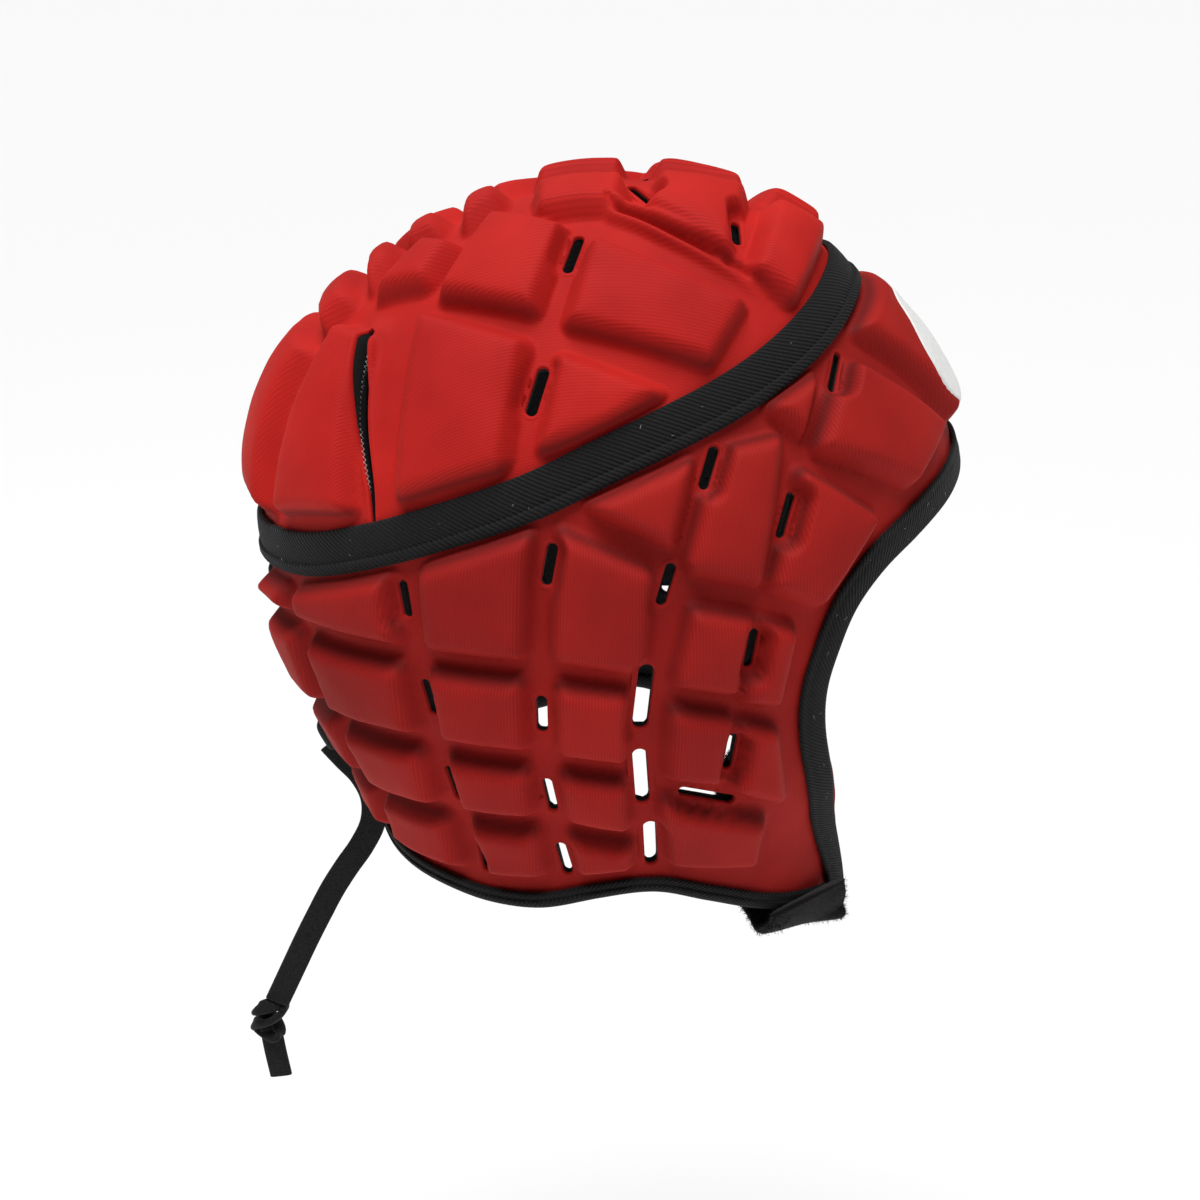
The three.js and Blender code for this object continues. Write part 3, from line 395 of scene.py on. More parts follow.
laceBars = {  # elevation, height of the middle, depth of the ends, half width, angle of the eyelets
    "lace_bar_1": (-3, 5.0, 2.5, 5.6, 5.6),
    "lace_bar_2": (-21, 5.0, 2.1, 5.8, 5.8),
    "lace_bar_3": (-35.5, 15.0, 1.75, 6.0, 6.2),
}
eyelet = {"width": 4.35, "half": 2.6}
eyelets = [
    ((180 - aside, up - eyelet["half"]), (180 - aside, up + eyelet["half"]), eyelet["width"])
    for up, _, _, _, aside in laceBars.values()
]


# The slots and their mirror images
def bothSides(slots):
    return slots + [((-a[0], a[1]), (-b[0], b[1]), w) for a, b, w in slots]


# Each slot's own frame: its middle, the ways along, across and out, half length and half width
def slotFrames(slots):
    made = []
    for start, end, width in slots:
        a, b = lift(aim(*start), 0.0), lift(aim(*end), 0.0)
        heart = (a + b) / 2
        normal = normalAt(heart)
        x = unit(b - a)
        normal = unit(normal - x * np.dot(normal, x))
        made.append((heart, x, np.cross(normal, x), normal, np.linalg.norm(b - a) / 2, width / 2))
    return made


# Open dart behind the crown: stations around, up and width; closed dart over it: around and up
openDart = [(135.5, 20.5, 1.2), (137.5, 27, 2.6), (142, 34, 3.2), (148, 42, 3.0), (153.5, 48.5, 1.8)]
closedDart = [(84, 80), (63, 75.5), (49, 69), (41, 62.5), (37.5, 57)]


# Works out a distance only for points within reach of a place, as the rest are clear of it
def nearby(distanceTo, place, reach):
    def limited(points):
        gap, away = np.full(points.shape[:-1], 50.0), np.zeros(points.shape)
        near = np.linalg.norm(points - place, axis=-1) < reach
        if near.any():
            gap[near], away[near] = distanceTo(points[near])
        return gap, away
    return limited


# Distance to a slot's outline, negative inside: to the segment between its ends less half the width
def slotDistance(points, slot):
    heart, x, y, normal, half, radius = slot
    rel = points - heart
    u, v = rel @ x, rel @ y
    du = u - np.clip(u, -half, half)
    d = np.hypot(du, v) + np.where(np.abs(rel @ normal) > 15, 50, 0)
    away = du[..., None] * x + v[..., None] * y
    return d - radius, away / np.maximum(d, 1e-9)[..., None]


# Distance to a line of stations with its own half width at each, negative inside
def lineDistance(points, line, halves):
    best = np.full(points.shape[:-1], 1e9)
    away = np.zeros(points.shape)
    for a, b, ha, hb in zip(line[:-1], line[1:], halves[:-1], halves[1:]):
        run = b - a
        t = np.clip(((points - a) @ run) / (run @ run), 0, 1)
        rel = points - (a + t[..., None] * run)
        d = np.linalg.norm(rel, axis=-1)
        gap = d - (ha + t * (hb - ha))
        closer = gap < best
        best = np.where(closer, gap, best)
        away[closer] = (rel / np.maximum(d, 1e-9)[..., None])[closer]
    return best, away


# Side of a line and distance along it, for the folded dart
def alongLine(points, line):
    best = np.full(points.shape[:-1], 1e9)
    side, run = np.zeros(points.shape[:-1]), np.zeros(points.shape[:-1])
    lengths = np.linalg.norm(np.diff(line, axis=0), axis=1)
    starts = np.concatenate([[0], np.cumsum(lengths)])
    for k in range(len(line) - 1):
        step = line[k + 1] - line[k]
        t = np.clip(((points - line[k]) @ step) / (step @ step), 0, 1)
        rel = points - (line[k] + t[..., None] * step)
        d = np.linalg.norm(rel, axis=-1)
        across = np.cross(normalAt(line[k]), step / lengths[k])
        closer = d < best
        best = np.where(closer, d, best)
        side = np.where(closer, np.sign(rel @ across), side)
        run = np.where(closer, (starts[k] + t * lengths[k]) / starts[-1], run)
    return best, side, run


def dartLine(stations, side):
    line = throughPoints([(side * p[0], p[1]) for p in stations], dart["stations"])
    return lift(aim(*line.T), np.full(len(line), form["wall"]))


dart = {  # lip and welt of the open dart, two ridges of the closed one and the line between them
    "lip": 0.9, "lipWidth": 2.2, "welt": 2.4, "upper": 4.4, "lower": 3.4, "apart": 2.3, "ridgeWidth": 1.7,
    "crease": 1.6, "creaseWidth": 0.8, "weltWidth": 4.5, "stations": 60,
}
dartRun, dartEnds = np.linspace(0, 1, dart["stations"]), np.linspace(0, 1, len(openDart))
dartHalves = np.interp(dartRun, dartEnds, [station[2] / 2 for station in openDart])
openLines = [dartLine(openDart, side) for side in (1, -1)]
foldLines = [dartLine(closedDart, side) for side in (1, -1)]

# The sheet stays flat round a slot: a share of the pads' height that grows from none at the slot's
# rim to all of it, smoothly, over the clearing's width
clearing = {"rim": 0.7, "width": 3.2}
crownSlots = slotFrames(bothSides(crownVents))
lowerSlots = slotFrames(bothSides(lowerVents + eyelets))


def clearedShare(base, slots):
    share = np.ones(base.shape[:-1])
    for slot in slots:
        near = np.linalg.norm(base - slot[0], axis=-1) < slot[4] + slot[5] + 5
        gap = slotDistance(base[near], slot)[0]
        t = np.clip((gap - clearing["rim"]) / clearing["width"], 0, 1)
        share[near] = np.minimum(share[near], t * t * (3 - 2 * t))
    return share


# Relief of the crown: the pads; a raised lip along both edges of the open dart that dies out in
# its own width, with a welt over its upper end; and along the closed dart two bell-shaped ridges
# that stand apart and die out towards the tape, with a sunk line between them.
def crownRelief(base):
    height = padRelief(base, crownOutlines, padding["spread"]) * clearedShare(base, crownSlots)
    for side, openLine, foldLine in zip((1, -1), openLines, foldLines):
        near = np.linalg.norm(base - openLine.mean(axis=0), axis=-1) < 55
        gap, _ = lineDistance(base[near], openLine[::3], dartHalves[::3])
        lip = dart["lip"] * np.exp(-((np.maximum(gap, 0) / dart["lipWidth"]) ** 2))
        height[near] = height[near] + lip * np.clip(1 - height[near] / 4, 0, 1)
        welt = np.linalg.norm(base - openLine[-1], axis=-1)
        height = np.maximum(height, dart["welt"] * np.exp(-((welt / dart["weltWidth"]) ** 2)))
        near = np.linalg.norm(base - foldLine.mean(axis=0), axis=-1) < 60
        away, hand, run = alongLine(base[near], foldLine)
        across = away * hand * side
        rising = np.clip(run / 0.06, 0, 1) * np.clip((1.02 - run) / 0.7, 0, 1) ** 0.7
        width = dart["ridgeWidth"]
        upper = dart["upper"] * np.exp(-(((across - dart["apart"]) / width) ** 2))
        lower = dart["lower"] * np.exp(-(((across + dart["apart"]) / width) ** 2))
        ridge = rising * (upper + lower)
        crease = dart["crease"] * np.exp(-((away / dart["creaseWidth"]) ** 2))
        crease = crease * np.clip((1 - run) / 0.1, 0, 1)
        height[near] = np.hypot(ridge, height[near]) - crease
    return height


# Relief of the lower panel: the shaped pads and the cells of the grooves, the higher of the two
def lowerRelief(base):
    shaped = padRelief(base, lowerOutlines, padding["spread"])
    celled = padRelief(base, cellOutlines, 0.0)
    return np.maximum(shaped, celled) * clearedShare(base, lowerSlots)


# Shallow unevenness of moulded foam under stretched knit: a few long waves added together
foamWaves = {"height": 0.16, "count": 14, "shortest": 9, "longest": 26}


def unevenness(points):
    waves = np.zeros(points.shape[:-1])
    chance = np.random.default_rng(3)
    for _ in range(foamWaves["count"]):
        way = unit(chance.normal(size=3)) / chance.uniform(foamWaves["shortest"], foamWaves["longest"])
        waves += np.sin(points @ way * 2 * np.pi + chance.uniform(0, 6.3))
    return foamWaves["height"] * waves / foamWaves["count"] ** 0.5


# A mesh object from points in millimetres, with knit coordinates and named values where given
def meshPiece(name, points, faces, material, uv=None, extra=None):
    mesh = bpy.data.meshes.new(name)
    mesh.from_pydata((points * mm).tolist(), [], faces.tolist() if hasattr(faces, "tolist") else faces)
    mesh.update()
    if uv is not None:
        layer = mesh.uv_layers.new(name="weave")
        corner = np.zeros(len(mesh.loops), np.int32)
        mesh.loops.foreach_get("vertex_index", corner)
        layer.data.foreach_set("uv", uv[corner].astype(np.float32).ravel())
    for label, values in (extra or {}).items():
        mesh.attributes.new(label, "FLOAT", "POINT").data.foreach_set("value", values.astype(np.float32))
    mesh.polygons.foreach_set("use_smooth", np.full(len(mesh.polygons), True))
    mesh.materials.append(material)
    made = bpy.data.objects.new(name, mesh)
    bpy.context.scene.collection.objects.link(made)
    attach(made, "root")
    return made


# Faces of a closed piece turned outwards
def tidyNormals(piece):
    work = bmesh.new()
    work.from_mesh(piece.data)
    bmesh.ops.recalc_face_normals(work, faces=work.faces)
    work.to_mesh(piece.data)
    work.free()


# Quads between the rows and columns of a grid of points, closed around its columns if wrapped
def gridFaces(rows, columns, wrap=False):
    j, i = np.meshgrid(np.arange(rows - 1), np.arange(columns if wrap else columns - 1), indexing="ij")
    n = (i + 1) % columns
    quads = [j * columns + i, j * columns + n, (j + 1) * columns + n, (j + 1) * columns + i]
    return np.stack(quads, axis=-1).reshape(-1, 4)


# The two end faces of a section carried along a line
def endFaces(rows, columns):
    return [list(range(columns))[::-1], list(range((rows - 1) * columns, rows * columns))]


# A flat band: an oval section turned to face a given breadth along a smooth middle line
def bandPoints(middles, broads, section):
    ahead = unit(np.gradient(middles, axis=0))
    flatwise = unit(broads - ahead * (broads * ahead).sum(axis=1, keepdims=True))
    upward = np.cross(ahead, flatwise)
    wide, thick = (side[None, :, None] for side in np.asarray(section, float).T)
    return middles[:, None, :] + flatwise[:, None, :] * wide + upward[:, None, :] * thick


# Oval section: cosine and sine raised to a power, which is squarer the lower it is
def ovalSection(width, thickness, count, square=0.55):
    a = np.linspace(0, 2 * np.pi, count, endpoint=False)
    c, s = np.cos(a), np.sin(a)
    wide = width / 2 * np.sign(c) * np.abs(c) ** square
    thick = thickness / 2 * np.sign(s) * np.abs(s) ** square
    return np.stack([wide, thick], axis=1)


def bandPiece(name, middles, broads, section, material):
    points = bandPoints(middles, broads, section)
    rows, columns = points.shape[:2]
    along = np.broadcast_to(runOf(middles)[:, None], (rows, columns))
    across = np.broadcast_to(np.asarray(section)[:, 0], (rows, columns))
    uv = np.stack([along, across], axis=-1)
    every = gridFaces(rows, columns, wrap=True).tolist() + endFaces(rows, columns)
    made = meshPiece(name, points.reshape(-1, 3), every, material, uv=uv.reshape(-1, 2))
    tidyNormals(made)
    return made


# Loose fibres: each a thin leaning blade of two triangles from a root on a surface, its tip one
# length away along the outward way mixed with a random way by the lean, bent at half length
def fibres(name, roots, outward, length, width, lean, material, seed):
    chance = np.random.default_rng(seed)
    count = len(roots)
    way = unit(outward + lean * chance.normal(size=(count, 3)))
    long = length * chance.uniform(0.5, 1.2, (count, 1))
    side = unit(np.cross(way, chance.normal(size=(count, 3)))) * width / 2
    knee = roots + way * long * 0.5
    tip = knee + unit(way + 0.6 * chance.normal(size=(count, 3))) * long * 0.5
    blade = [roots - side, roots + side, knee + side * 0.8, knee - side * 0.8, tip]
    points = np.stack(blade, axis=1).reshape(-1, 3)
    start = 5 * np.arange(count)[:, None]
    faces = (start + [[0, 1, 2, 3]]).tolist() + (start + [[3, 2, 4]]).tolist()
    return meshPiece(name, points, faces, material)


# One small function adds a node with its settings and links
def add(tree, kind, inputs=None, **settings):
    made = tree.nodes.new(kind)
    for name, value in settings.items():
        setattr(made, name, value)
    for name, value in (inputs or {}).items():
        if isinstance(value, bpy.types.NodeSocket):
            tree.links.new(value, made.inputs[name])
        else:
            made.inputs[name].default_value = value
    return made


# An sRGB hex value turned to linear light
def linear(hexColour):
    c = np.array([int(hexColour[k:k + 2], 16) / 255 for k in (1, 3, 5)])
    c = np.where(c <= 0.04045, c / 12.92, ((c + 0.055) / 1.055) ** 2.4)
    return (*c.tolist(), 1.0)


# An empty material and its node tree
def newMaterial(name):
    made = bpy.data.materials.new(name)
    made.use_nodes = True
    made.node_tree.nodes.clear()
    return made, made.node_tree


# Polyester stretch knit bonded to foam: dull, with fine ribs one millimetre apart and a soft
# bloom at grazing angles. The ribs run on the fabric's own coordinates, in millimetres.
def stretchKnit(name, dark, light):
    made, tree = newMaterial(name)
    uv = add(tree, "ShaderNodeUVMap", uv_map="weave")
    split = add(tree, "ShaderNodeSeparateXYZ", {0: uv.outputs[0]})
    bend = add(tree, "ShaderNodeMath", {0: split.outputs[1], 1: 2 * np.pi / 1.6}, operation="MULTIPLY")
    bend = add(tree, "ShaderNodeMath", {0: bend.outputs[0]}, operation="SINE")
    wale = add(tree, "ShaderNodeMath", {0: split.outputs[0], 1: 2 * np.pi / 0.85}, operation="MULTIPLY")
    shift = add(tree, "ShaderNodeMath", {0: bend.outputs[0], 1: 0.4, 2: wale.outputs[0]},
                operation="MULTIPLY_ADD")
    rib = add(tree, "ShaderNodeMath", {0: shift.outputs[0]}, operation="SINE")
    place = add(tree, "ShaderNodeTexCoord")
    fuzz = add(tree, "ShaderNodeTexNoise",  # fibres of 0.4 mm
               {"Vector": place.outputs["Object"], "Scale": 2600.0, "Detail": 2.0})
    cloud = add(tree, "ShaderNodeTexNoise",  # worn areas of 36 mm
                {"Vector": place.outputs["Object"], "Scale": 28.0, "Detail": 3.0})
    height = add(tree, "ShaderNodeMath", {0: fuzz.outputs["Fac"], 1: 0.9, 2: rib.outputs[0]},
                 operation="MULTIPLY_ADD")
    bump = add(tree, "ShaderNodeBump",
               {"Height": height.outputs[0], "Strength": 0.15, "Distance": 0.0001})
    drawn = add(tree, "ShaderNodeAttribute", attribute_name="stretch")
    depth = add(tree, "ShaderNodeMath", {0: drawn.outputs["Fac"], 1: 0.2, 2: 0.012},
                operation="MULTIPLY_ADD")
    tone = add(tree, "ShaderNodeMath", {0: rib.outputs[0], 1: depth.outputs[0], 2: cloud.outputs["Fac"]},
               operation="MULTIPLY_ADD")
    ramp = add(tree, "ShaderNodeValToRGB", {"Fac": tone.outputs[0]})
    ramp.color_ramp.elements[0].position, ramp.color_ramp.elements[1].position = 0.25, 0.8
    ramp.color_ramp.elements[0].color, ramp.color_ramp.elements[1].color = linear(dark), linear(light)
    # Painted shade: the "shade" attribute darkens the pads' walls towards #4A0C0D in the base colour
    wall = add(tree, "ShaderNodeAttribute", attribute_name="shade")
    paintedShade = add(tree, "ShaderNodeMath", {0: wall.outputs["Fac"], 1: 0.72}, operation="MULTIPLY")
    colour = add(tree, "ShaderNodeMixRGB", {
        "Fac": paintedShade.outputs[0], "Color1": ramp.outputs[0], "Color2": linear("#4A0C0D"),
    })
    shader = add(tree, "ShaderNodeBsdfPrincipled", {
        "Base Color": colour.outputs[0], "Roughness": 0.75, "Normal": bump.outputs[0],
        "Specular IOR Level": 0.2, "Sheen Weight": 0.1, "Sheen Roughness": 0.45,
        "Sheen Tint": linear("#FF6A58"),
    })
    add(tree, "ShaderNodeOutputMaterial", {"Surface": shader.outputs[0]})
    return made


# Woven twill tape in black: diagonal ribs, their crests lighter in the colour as a painted highlight, and
# specks of dust
def blackTwill(name, pitch):
    made, tree = newMaterial(name)
    uv = add(tree, "ShaderNodeUVMap", uv_map="weave")
    split = add(tree, "ShaderNodeSeparateXYZ", {0: uv.outputs[0]})
    slant = add(tree, "ShaderNodeMath", {0: split.outputs[0], 1: split.outputs[1]}, operation="ADD")
    slant = add(tree, "ShaderNodeMath", {0: slant.outputs[0], 1: 2 * np.pi / pitch}, operation="MULTIPLY")
    rib = add(tree, "ShaderNodeMath", {0: slant.outputs[0]}, operation="SINE")
    place = add(tree, "ShaderNodeTexCoord")
    fuzz = add(tree, "ShaderNodeTexNoise",  # dust of 0.5 mm
               {"Vector": place.outputs["Object"], "Scale": 2200.0, "Detail": 3.0})
    height = add(tree, "ShaderNodeMath", {0: fuzz.outputs["Fac"], 1: 1.2, 2: rib.outputs[0]},
                 operation="MULTIPLY_ADD")
    bump = add(tree, "ShaderNodeBump",
               {"Height": height.outputs[0], "Strength": 0.8, "Distance": 0.00016})
    # Painted highlight on the rib crests, plus dust specks from the fine noise, in the base colour
    tone = add(tree, "ShaderNodeMath", {0: rib.outputs[0], 1: 0.22, 2: fuzz.outputs["Fac"]},
               operation="MULTIPLY_ADD")
    ramp = add(tree, "ShaderNodeValToRGB", {"Fac": tone.outputs[0]})
    ramp.color_ramp.elements[0].position, ramp.color_ramp.elements[1].position = 0.3, 0.85
    ramp.color_ramp.elements[0].color = linear("#09090A")
    ramp.color_ramp.elements[1].color = linear("#1E1E20")
    shader = add(tree, "ShaderNodeBsdfPrincipled", {
        "Base Color": ramp.outputs[0], "Roughness": 0.82, "Normal": bump.outputs[0],
        "Specular IOR Level": 0.22, "Sheen Weight": 0.05, "Sheen Roughness": 0.5,
    })
    add(tree, "ShaderNodeOutputMaterial", {"Surface": shader.outputs[0]})
    return made


# Matt material with a fine grain in millimetres: cut foam, brushed cloth, cotton, thread and film
def mattGrain(name, dark, light, grain, roughness, bumpMm, sheen):
    made, tree = newMaterial(name)
    place = add(tree, "ShaderNodeTexCoord")
    fine = add(tree, "ShaderNodeTexNoise",
               {"Vector": place.outputs["Object"], "Scale": 1000 / grain, "Detail": 4.0})
    ramp = add(tree, "ShaderNodeValToRGB", {"Fac": fine.outputs["Fac"]})
    ramp.color_ramp.elements[0].position, ramp.color_ramp.elements[1].position = 0.3, 0.72
    ramp.color_ramp.elements[0].color, ramp.color_ramp.elements[1].color = linear(dark), linear(light)
    bump = add(tree, "ShaderNodeBump",
               {"Height": fine.outputs["Fac"], "Strength": 0.7, "Distance": bumpMm * mm})
    shader = add(tree, "ShaderNodeBsdfPrincipled", {
        "Base Color": ramp.outputs[0], "Roughness": roughness, "Normal": bump.outputs[0],
        "Specular IOR Level": 0.25, "Sheen Weight": sheen, "Sheen Roughness": 0.5,
    })
    add(tree, "ShaderNodeOutputMaterial", {"Surface": shader.outputs[0]})
    return made


knit = stretchKnit("red_stretch_knit_crown", "#A81512", "#CC221B")
# Painted shade: the lower panel's knit is a darker copy of the crown's, for the panel that sits below the
# overhead light
lowerKnitPaintedShade = stretchKnit("red_stretch_knit_lower_painted_shade", "#8F130F", "#B01D17")
tapeCloth = blackTwill("black_twill_tape", 1.5)
bindingCloth = blackTwill("black_twill_binding", 1.3)
foamCut = mattGrain("cut_black_foam", "#0B0B0C", "#1B1B1C", 0.6, 0.9, 0.2, 0.0)
liningCloth = mattGrain("black_brushed_lining", "#0D0D0E", "#222224", 0.9, 0.92, 0.15, 0.1)
pile = mattGrain("black_brushed_loop", "#060607", "#161617", 0.5, 1.0, 0.5, 0.12)
laceCloth = mattGrain("black_cotton_lace", "#0B0B0C", "#222224", 0.7, 0.95, 0.35, 0.1)
thread = mattGrain("white_thread", "#D9D6D0", "#F4F2EE", 0.3, 0.7, 0.05, 0.1)
film = mattGrain("white_print_film", "#EFEFED", "#FAFAF8", 1.5, 0.45, 0.02, 0.0)
lintFibre = mattGrain("pale_lint", "#8E8E8C", "#C9C8C4", 0.4, 0.8, 0.02, 0.0)
print("materials ready")


# The covers are height fields on a grid of directions: base point plus relief along the normal.
# Points that lie close to a hole's outline are moved onto it along the sheet, and every face that
# reaches inside is left out; the rims then lie over that edge.
def pierced(base, normals, holes, cell, grow):
    moved = base.copy()
    for distanceTo in holes:
        gap, away = distanceTo(base)
        gap = gap - grow
        near = np.abs(gap) < 0.7 * cell
        away = away - normals * (away * normals).sum(axis=-1, keepdims=True)
        moved[near] = (base - gap[:, None] * away)[near]
    return moved


# Which faces stay: those with no corner and no middle inside a hole
def clearOf(moved, faces, holes, grow):
    inside = np.zeros(len(moved), bool)
    hearts = moved[faces].mean(axis=1)
    drop = np.zeros(len(faces), bool)
    for distanceTo in holes:
        inside |= distanceTo(moved)[0] - grow < -0.12
        drop |= distanceTo(hearts)[0] - grow < -0.05
    return ~(drop | inside[faces].any(axis=1))


# Columns and rows of each grid, the side of its cells, and how far its holes are widened
cover = {"crown": (560, 140), "lower": (600, 118), "cell": 1.15, "grow": 0.5}
lining = {"crown": (280, 70), "lower": (300, 60), "cell": 2.3, "grow": 0.1, "height": -0.15}


# Directions over the crown, row by row from just above the seam to the apex
def crownDirections(columns, rows):
    around = np.linspace(0, 360, columns, endpoint=False)
    t = np.linspace(0, 1, rows)[:, None] ** 0.93
    up = seamUp(around)[None, :] + 0.12 + (89.9 - seamUp(around)[None, :]) * t
    return np.broadcast_to(around, up.shape), up


# Face edge from the middle of the forehead down to the corner of the cheek
faceEdge = [
    (0, 17.5), (16, 16), (26, 14), (34, 11), (39.5, 6), (42.5, -1), (44, -9), (43, -18), (39.5, -27),
    (33.5, -37), (26, -46), (21.5, -51),
]
backHalf = float(np.degrees(4 / (form["length"] * 0.456)))  # half of the 8 mm slit, as an angle


# The lower panel runs between two lines: below, the hem from the open back to the cheek corner
# and then the face edge up to the forehead; above, the seam. Its points divide the straight
# way between them, in angles.
def lowerDirections(columns, rows):
    half = columns // 2
    hem = np.linspace(180 - backHalf, faceEdge[-1][0], 60)
    low = np.vstack([np.stack([hem, hemUp(hem)], axis=1)[:-1], np.array(faceEdge[::-1], float)])
    step = np.hypot(np.diff(low[:, 0]) * np.cos(np.radians(low[:-1, 1])), np.diff(low[:, 1]))
    at = np.concatenate([[0], np.cumsum(step)])
    want = np.linspace(0, at[-1], half)
    lowAround, lowUp = np.interp(want, at, low[:, 0]), np.interp(want, at, low[:, 1])
    share = np.linspace(0, 1, half)
    highAround = (180 - backHalf) * (1 - share)
    t = np.linspace(0, 1, rows)[:, None]
    around = lowAround + (highAround - lowAround) * t
    up = lowUp + (seamUp(highAround) - 0.12 - lowUp) * t
    around = np.concatenate([around, -around[:, ::-1][:, 1:]], axis=1)
    up = np.concatenate([up, up[:, ::-1][:, 1:]], axis=1)
    return around, up


# Painted shade for the knit's colour on the walls: 1 where a wall faces the given way (down on the crown,
# up on the lower panel, where the next row of pads overhangs it) and 0 off the walls: a bell over the
# relief's height times a ramp over the z of the normal, which is the cross product of the grid's two steps.
def wallShade(points, shape, raised, facing):
    grid = points.reshape(*shape, 3)
    normal = unit(np.cross(np.gradient(grid, axis=1), np.gradient(grid, axis=0)))
    outward = np.sign((normal * (grid - centre)).sum(axis=-1, keepdims=True))
    turned = facing * (normal * outward)[..., 2].ravel()
    return np.exp(-(((raised - 2.6) / 2.0) ** 2)) * np.clip((turned + 0.15) / 0.6, 0, 1)


# A knit cover: a grid over the wall, pierced by its holes and raised by its relief. "stretch" is
# 1 on the pads' shoulders, where the ribs open, and "shade" is the painted shade of the walls.
def coverPiece(name, directions, wrap, relief, holes, fabric, facing, cloth):
    around, up = directions
    base = lift(aim(around, up).reshape(-1, 3), np.full(around.size, form["wall"]))
    normals = normalAt(base)
    faces = gridFaces(*around.shape, wrap=wrap)
    moved = pierced(base, normals, holes, cover["cell"], cover["grow"])
    keep = clearOf(moved, faces, holes, cover["grow"])
    raised = relief(moved)
    points = moved + normals * (raised + unevenness(moved))[:, None]
    used, index = np.unique(faces[keep], return_inverse=True)
    uv = fabric(around.ravel(), up.ravel(), moved)
    stretch = np.exp(-(((raised - 0.93 * padding["rise"]) / 0.9) ** 2))
    shade = wallShade(points, around.shape, raised, facing)
    return meshPiece(name, points[used], index.reshape(-1, 4), cloth, uv=uv[used],
                     extra={"stretch": stretch[used], "shade": shade[used]})


# Knit coordinates in millimetres: on the crown the way from the top, laid flat; on the lower
# panel the way around and the way up
def crownFabric(around, up, points):
    way = np.radians(90 - up) * 100
    a = np.radians(around)
    return np.stack([way * np.sin(a), way * np.cos(a)], axis=-1)


def lowerFabric(around, up, points):
    return np.stack([np.radians(around) * 84, points[:, 2]], axis=-1)


# Distances to the holes, each worked out only within its reach
def slotHoles(slots):
    return [nearby(lambda p, s=s: slotDistance(p, s), s[0], s[4] + s[5] + 6) for s in slots]


def dartHoles(lines):
    return [nearby(lambda p, l=l: lineDistance(p, l, dartHalves), l.mean(axis=0), 60) for l in lines]


crownHoles = slotHoles(crownSlots) + dartHoles(openLines)
lowerHoles = slotHoles(lowerSlots)
crownCover = coverPiece("crown_cover", crownDirections(*cover["crown"]), True, crownRelief, crownHoles,
                        crownFabric, -1, knit)
print("crown cover done")
lowerCover = coverPiece("lower_cover", lowerDirections(*cover["lower"]), False, lowerRelief, lowerHoles,
                        lowerFabric, 1, lowerKnitPaintedShade)
print("lower cover done")


# Outline of a slot offset outwards: a circle arc about each end, in the slot's own plane
def slotOutline(slot, offset, count=32):
    heart, x, y, _, half, radius = slot
    a = np.linspace(0, 2 * np.pi, count, endpoint=False) + np.pi / count
    c, s = np.cos(a), np.sin(a)
    r = radius + offset
    return heart + (half * np.sign(c) + r * c)[:, None] * x + (r * s)[:, None] * y


# Outline of a dart offset outwards: its line shifted to one side and back along the other
def dartOutline(line, halves, offset):
    ahead = unit(np.gradient(line, axis=0))
    side = unit(np.cross(normalAt(line), ahead))
    wide = (halves + offset)[:, None]
    tips = ahead[[0, -1]] * (halves[[0, -1]] + offset)[:, None]
    ends = line[[0, -1]] + np.array([-1.0, 1.0])[:, None] * tips
    return np.vstack([line + side * wide, ends[1:], (line - side * wide)[::-1], ends[:1]])


# Rims and walls: rings of one hole's outline at growing offsets, each set at a height over the
# sheet (for the knit turned over the edge) or at a depth in it (for the cut foam behind)
def ringPiece(name, outlines, rings, relief, material, fabric):
    points, faces, uvs, first = [], [], [], 0
    for outlineAt in outlines:
        loops = []
        for offset, above, onRelief in rings:
            loop = outlineAt(offset)
            direction = unit(loop - centre)
            base = lift(direction, np.full(len(loop), form["wall"]))
            height = relief(base) + unevenness(base) if onRelief else 0
            loops.append(base + normalAt(base) * np.broadcast_to(height + above, len(loop))[:, None])
        grid = np.stack(loops)
        faces.append(gridFaces(*grid.shape[:2], wrap=True) + first)
        points.append(grid.reshape(-1, 3))
        around, up = anglesOf(points[-1])
        uvs.append(fabric(around, up, points[-1]))
        first += len(points[-1])
    return meshPiece(name, np.vstack(points), np.vstack(faces), material, uv=np.vstack(uvs))


def slotOutlines(slots):
    return [lambda offset, s=s: slotOutline(s, offset) for s in slots]


def dartOutlines(lines):
    return [lambda offset, l=l: dartOutline(l, dartHalves, offset) for l in lines]


rings = {  # offset from the hole's edge, height over the sheet, and whether on its relief
    "rim": [
        (0.02, -1.1, True), (0.0, -0.5, True), (0.12, -0.08, True), (0.45, 0.12, True),
        (1.0, 0.14, True), (1.7, -0.12, True),
    ],
    "wall": [
        (0.3, -0.9, True), (0.06, -0.95, True), (0.0, -1.6, False), (0.05, -3.2, False),
        (0.5, -3.3, False),
    ],
}
crownEdges = slotOutlines(crownSlots) + dartOutlines(openLines)
lowerEdges = slotOutlines(lowerSlots)
crownRims = ringPiece("crown_vent_rims", crownEdges, rings["rim"], crownRelief, knit, crownFabric)
lowerRims = ringPiece("lower_vent_rims", lowerEdges, rings["rim"], lowerRelief, lowerKnitPaintedShade, lowerFabric)
ringPiece("crown_vent_walls", crownEdges, rings["wall"], crownRelief, foamCut, crownFabric)
ringPiece("lower_vent_walls", lowerEdges, rings["wall"], lowerRelief, foamCut, lowerFabric)
print("vents done")

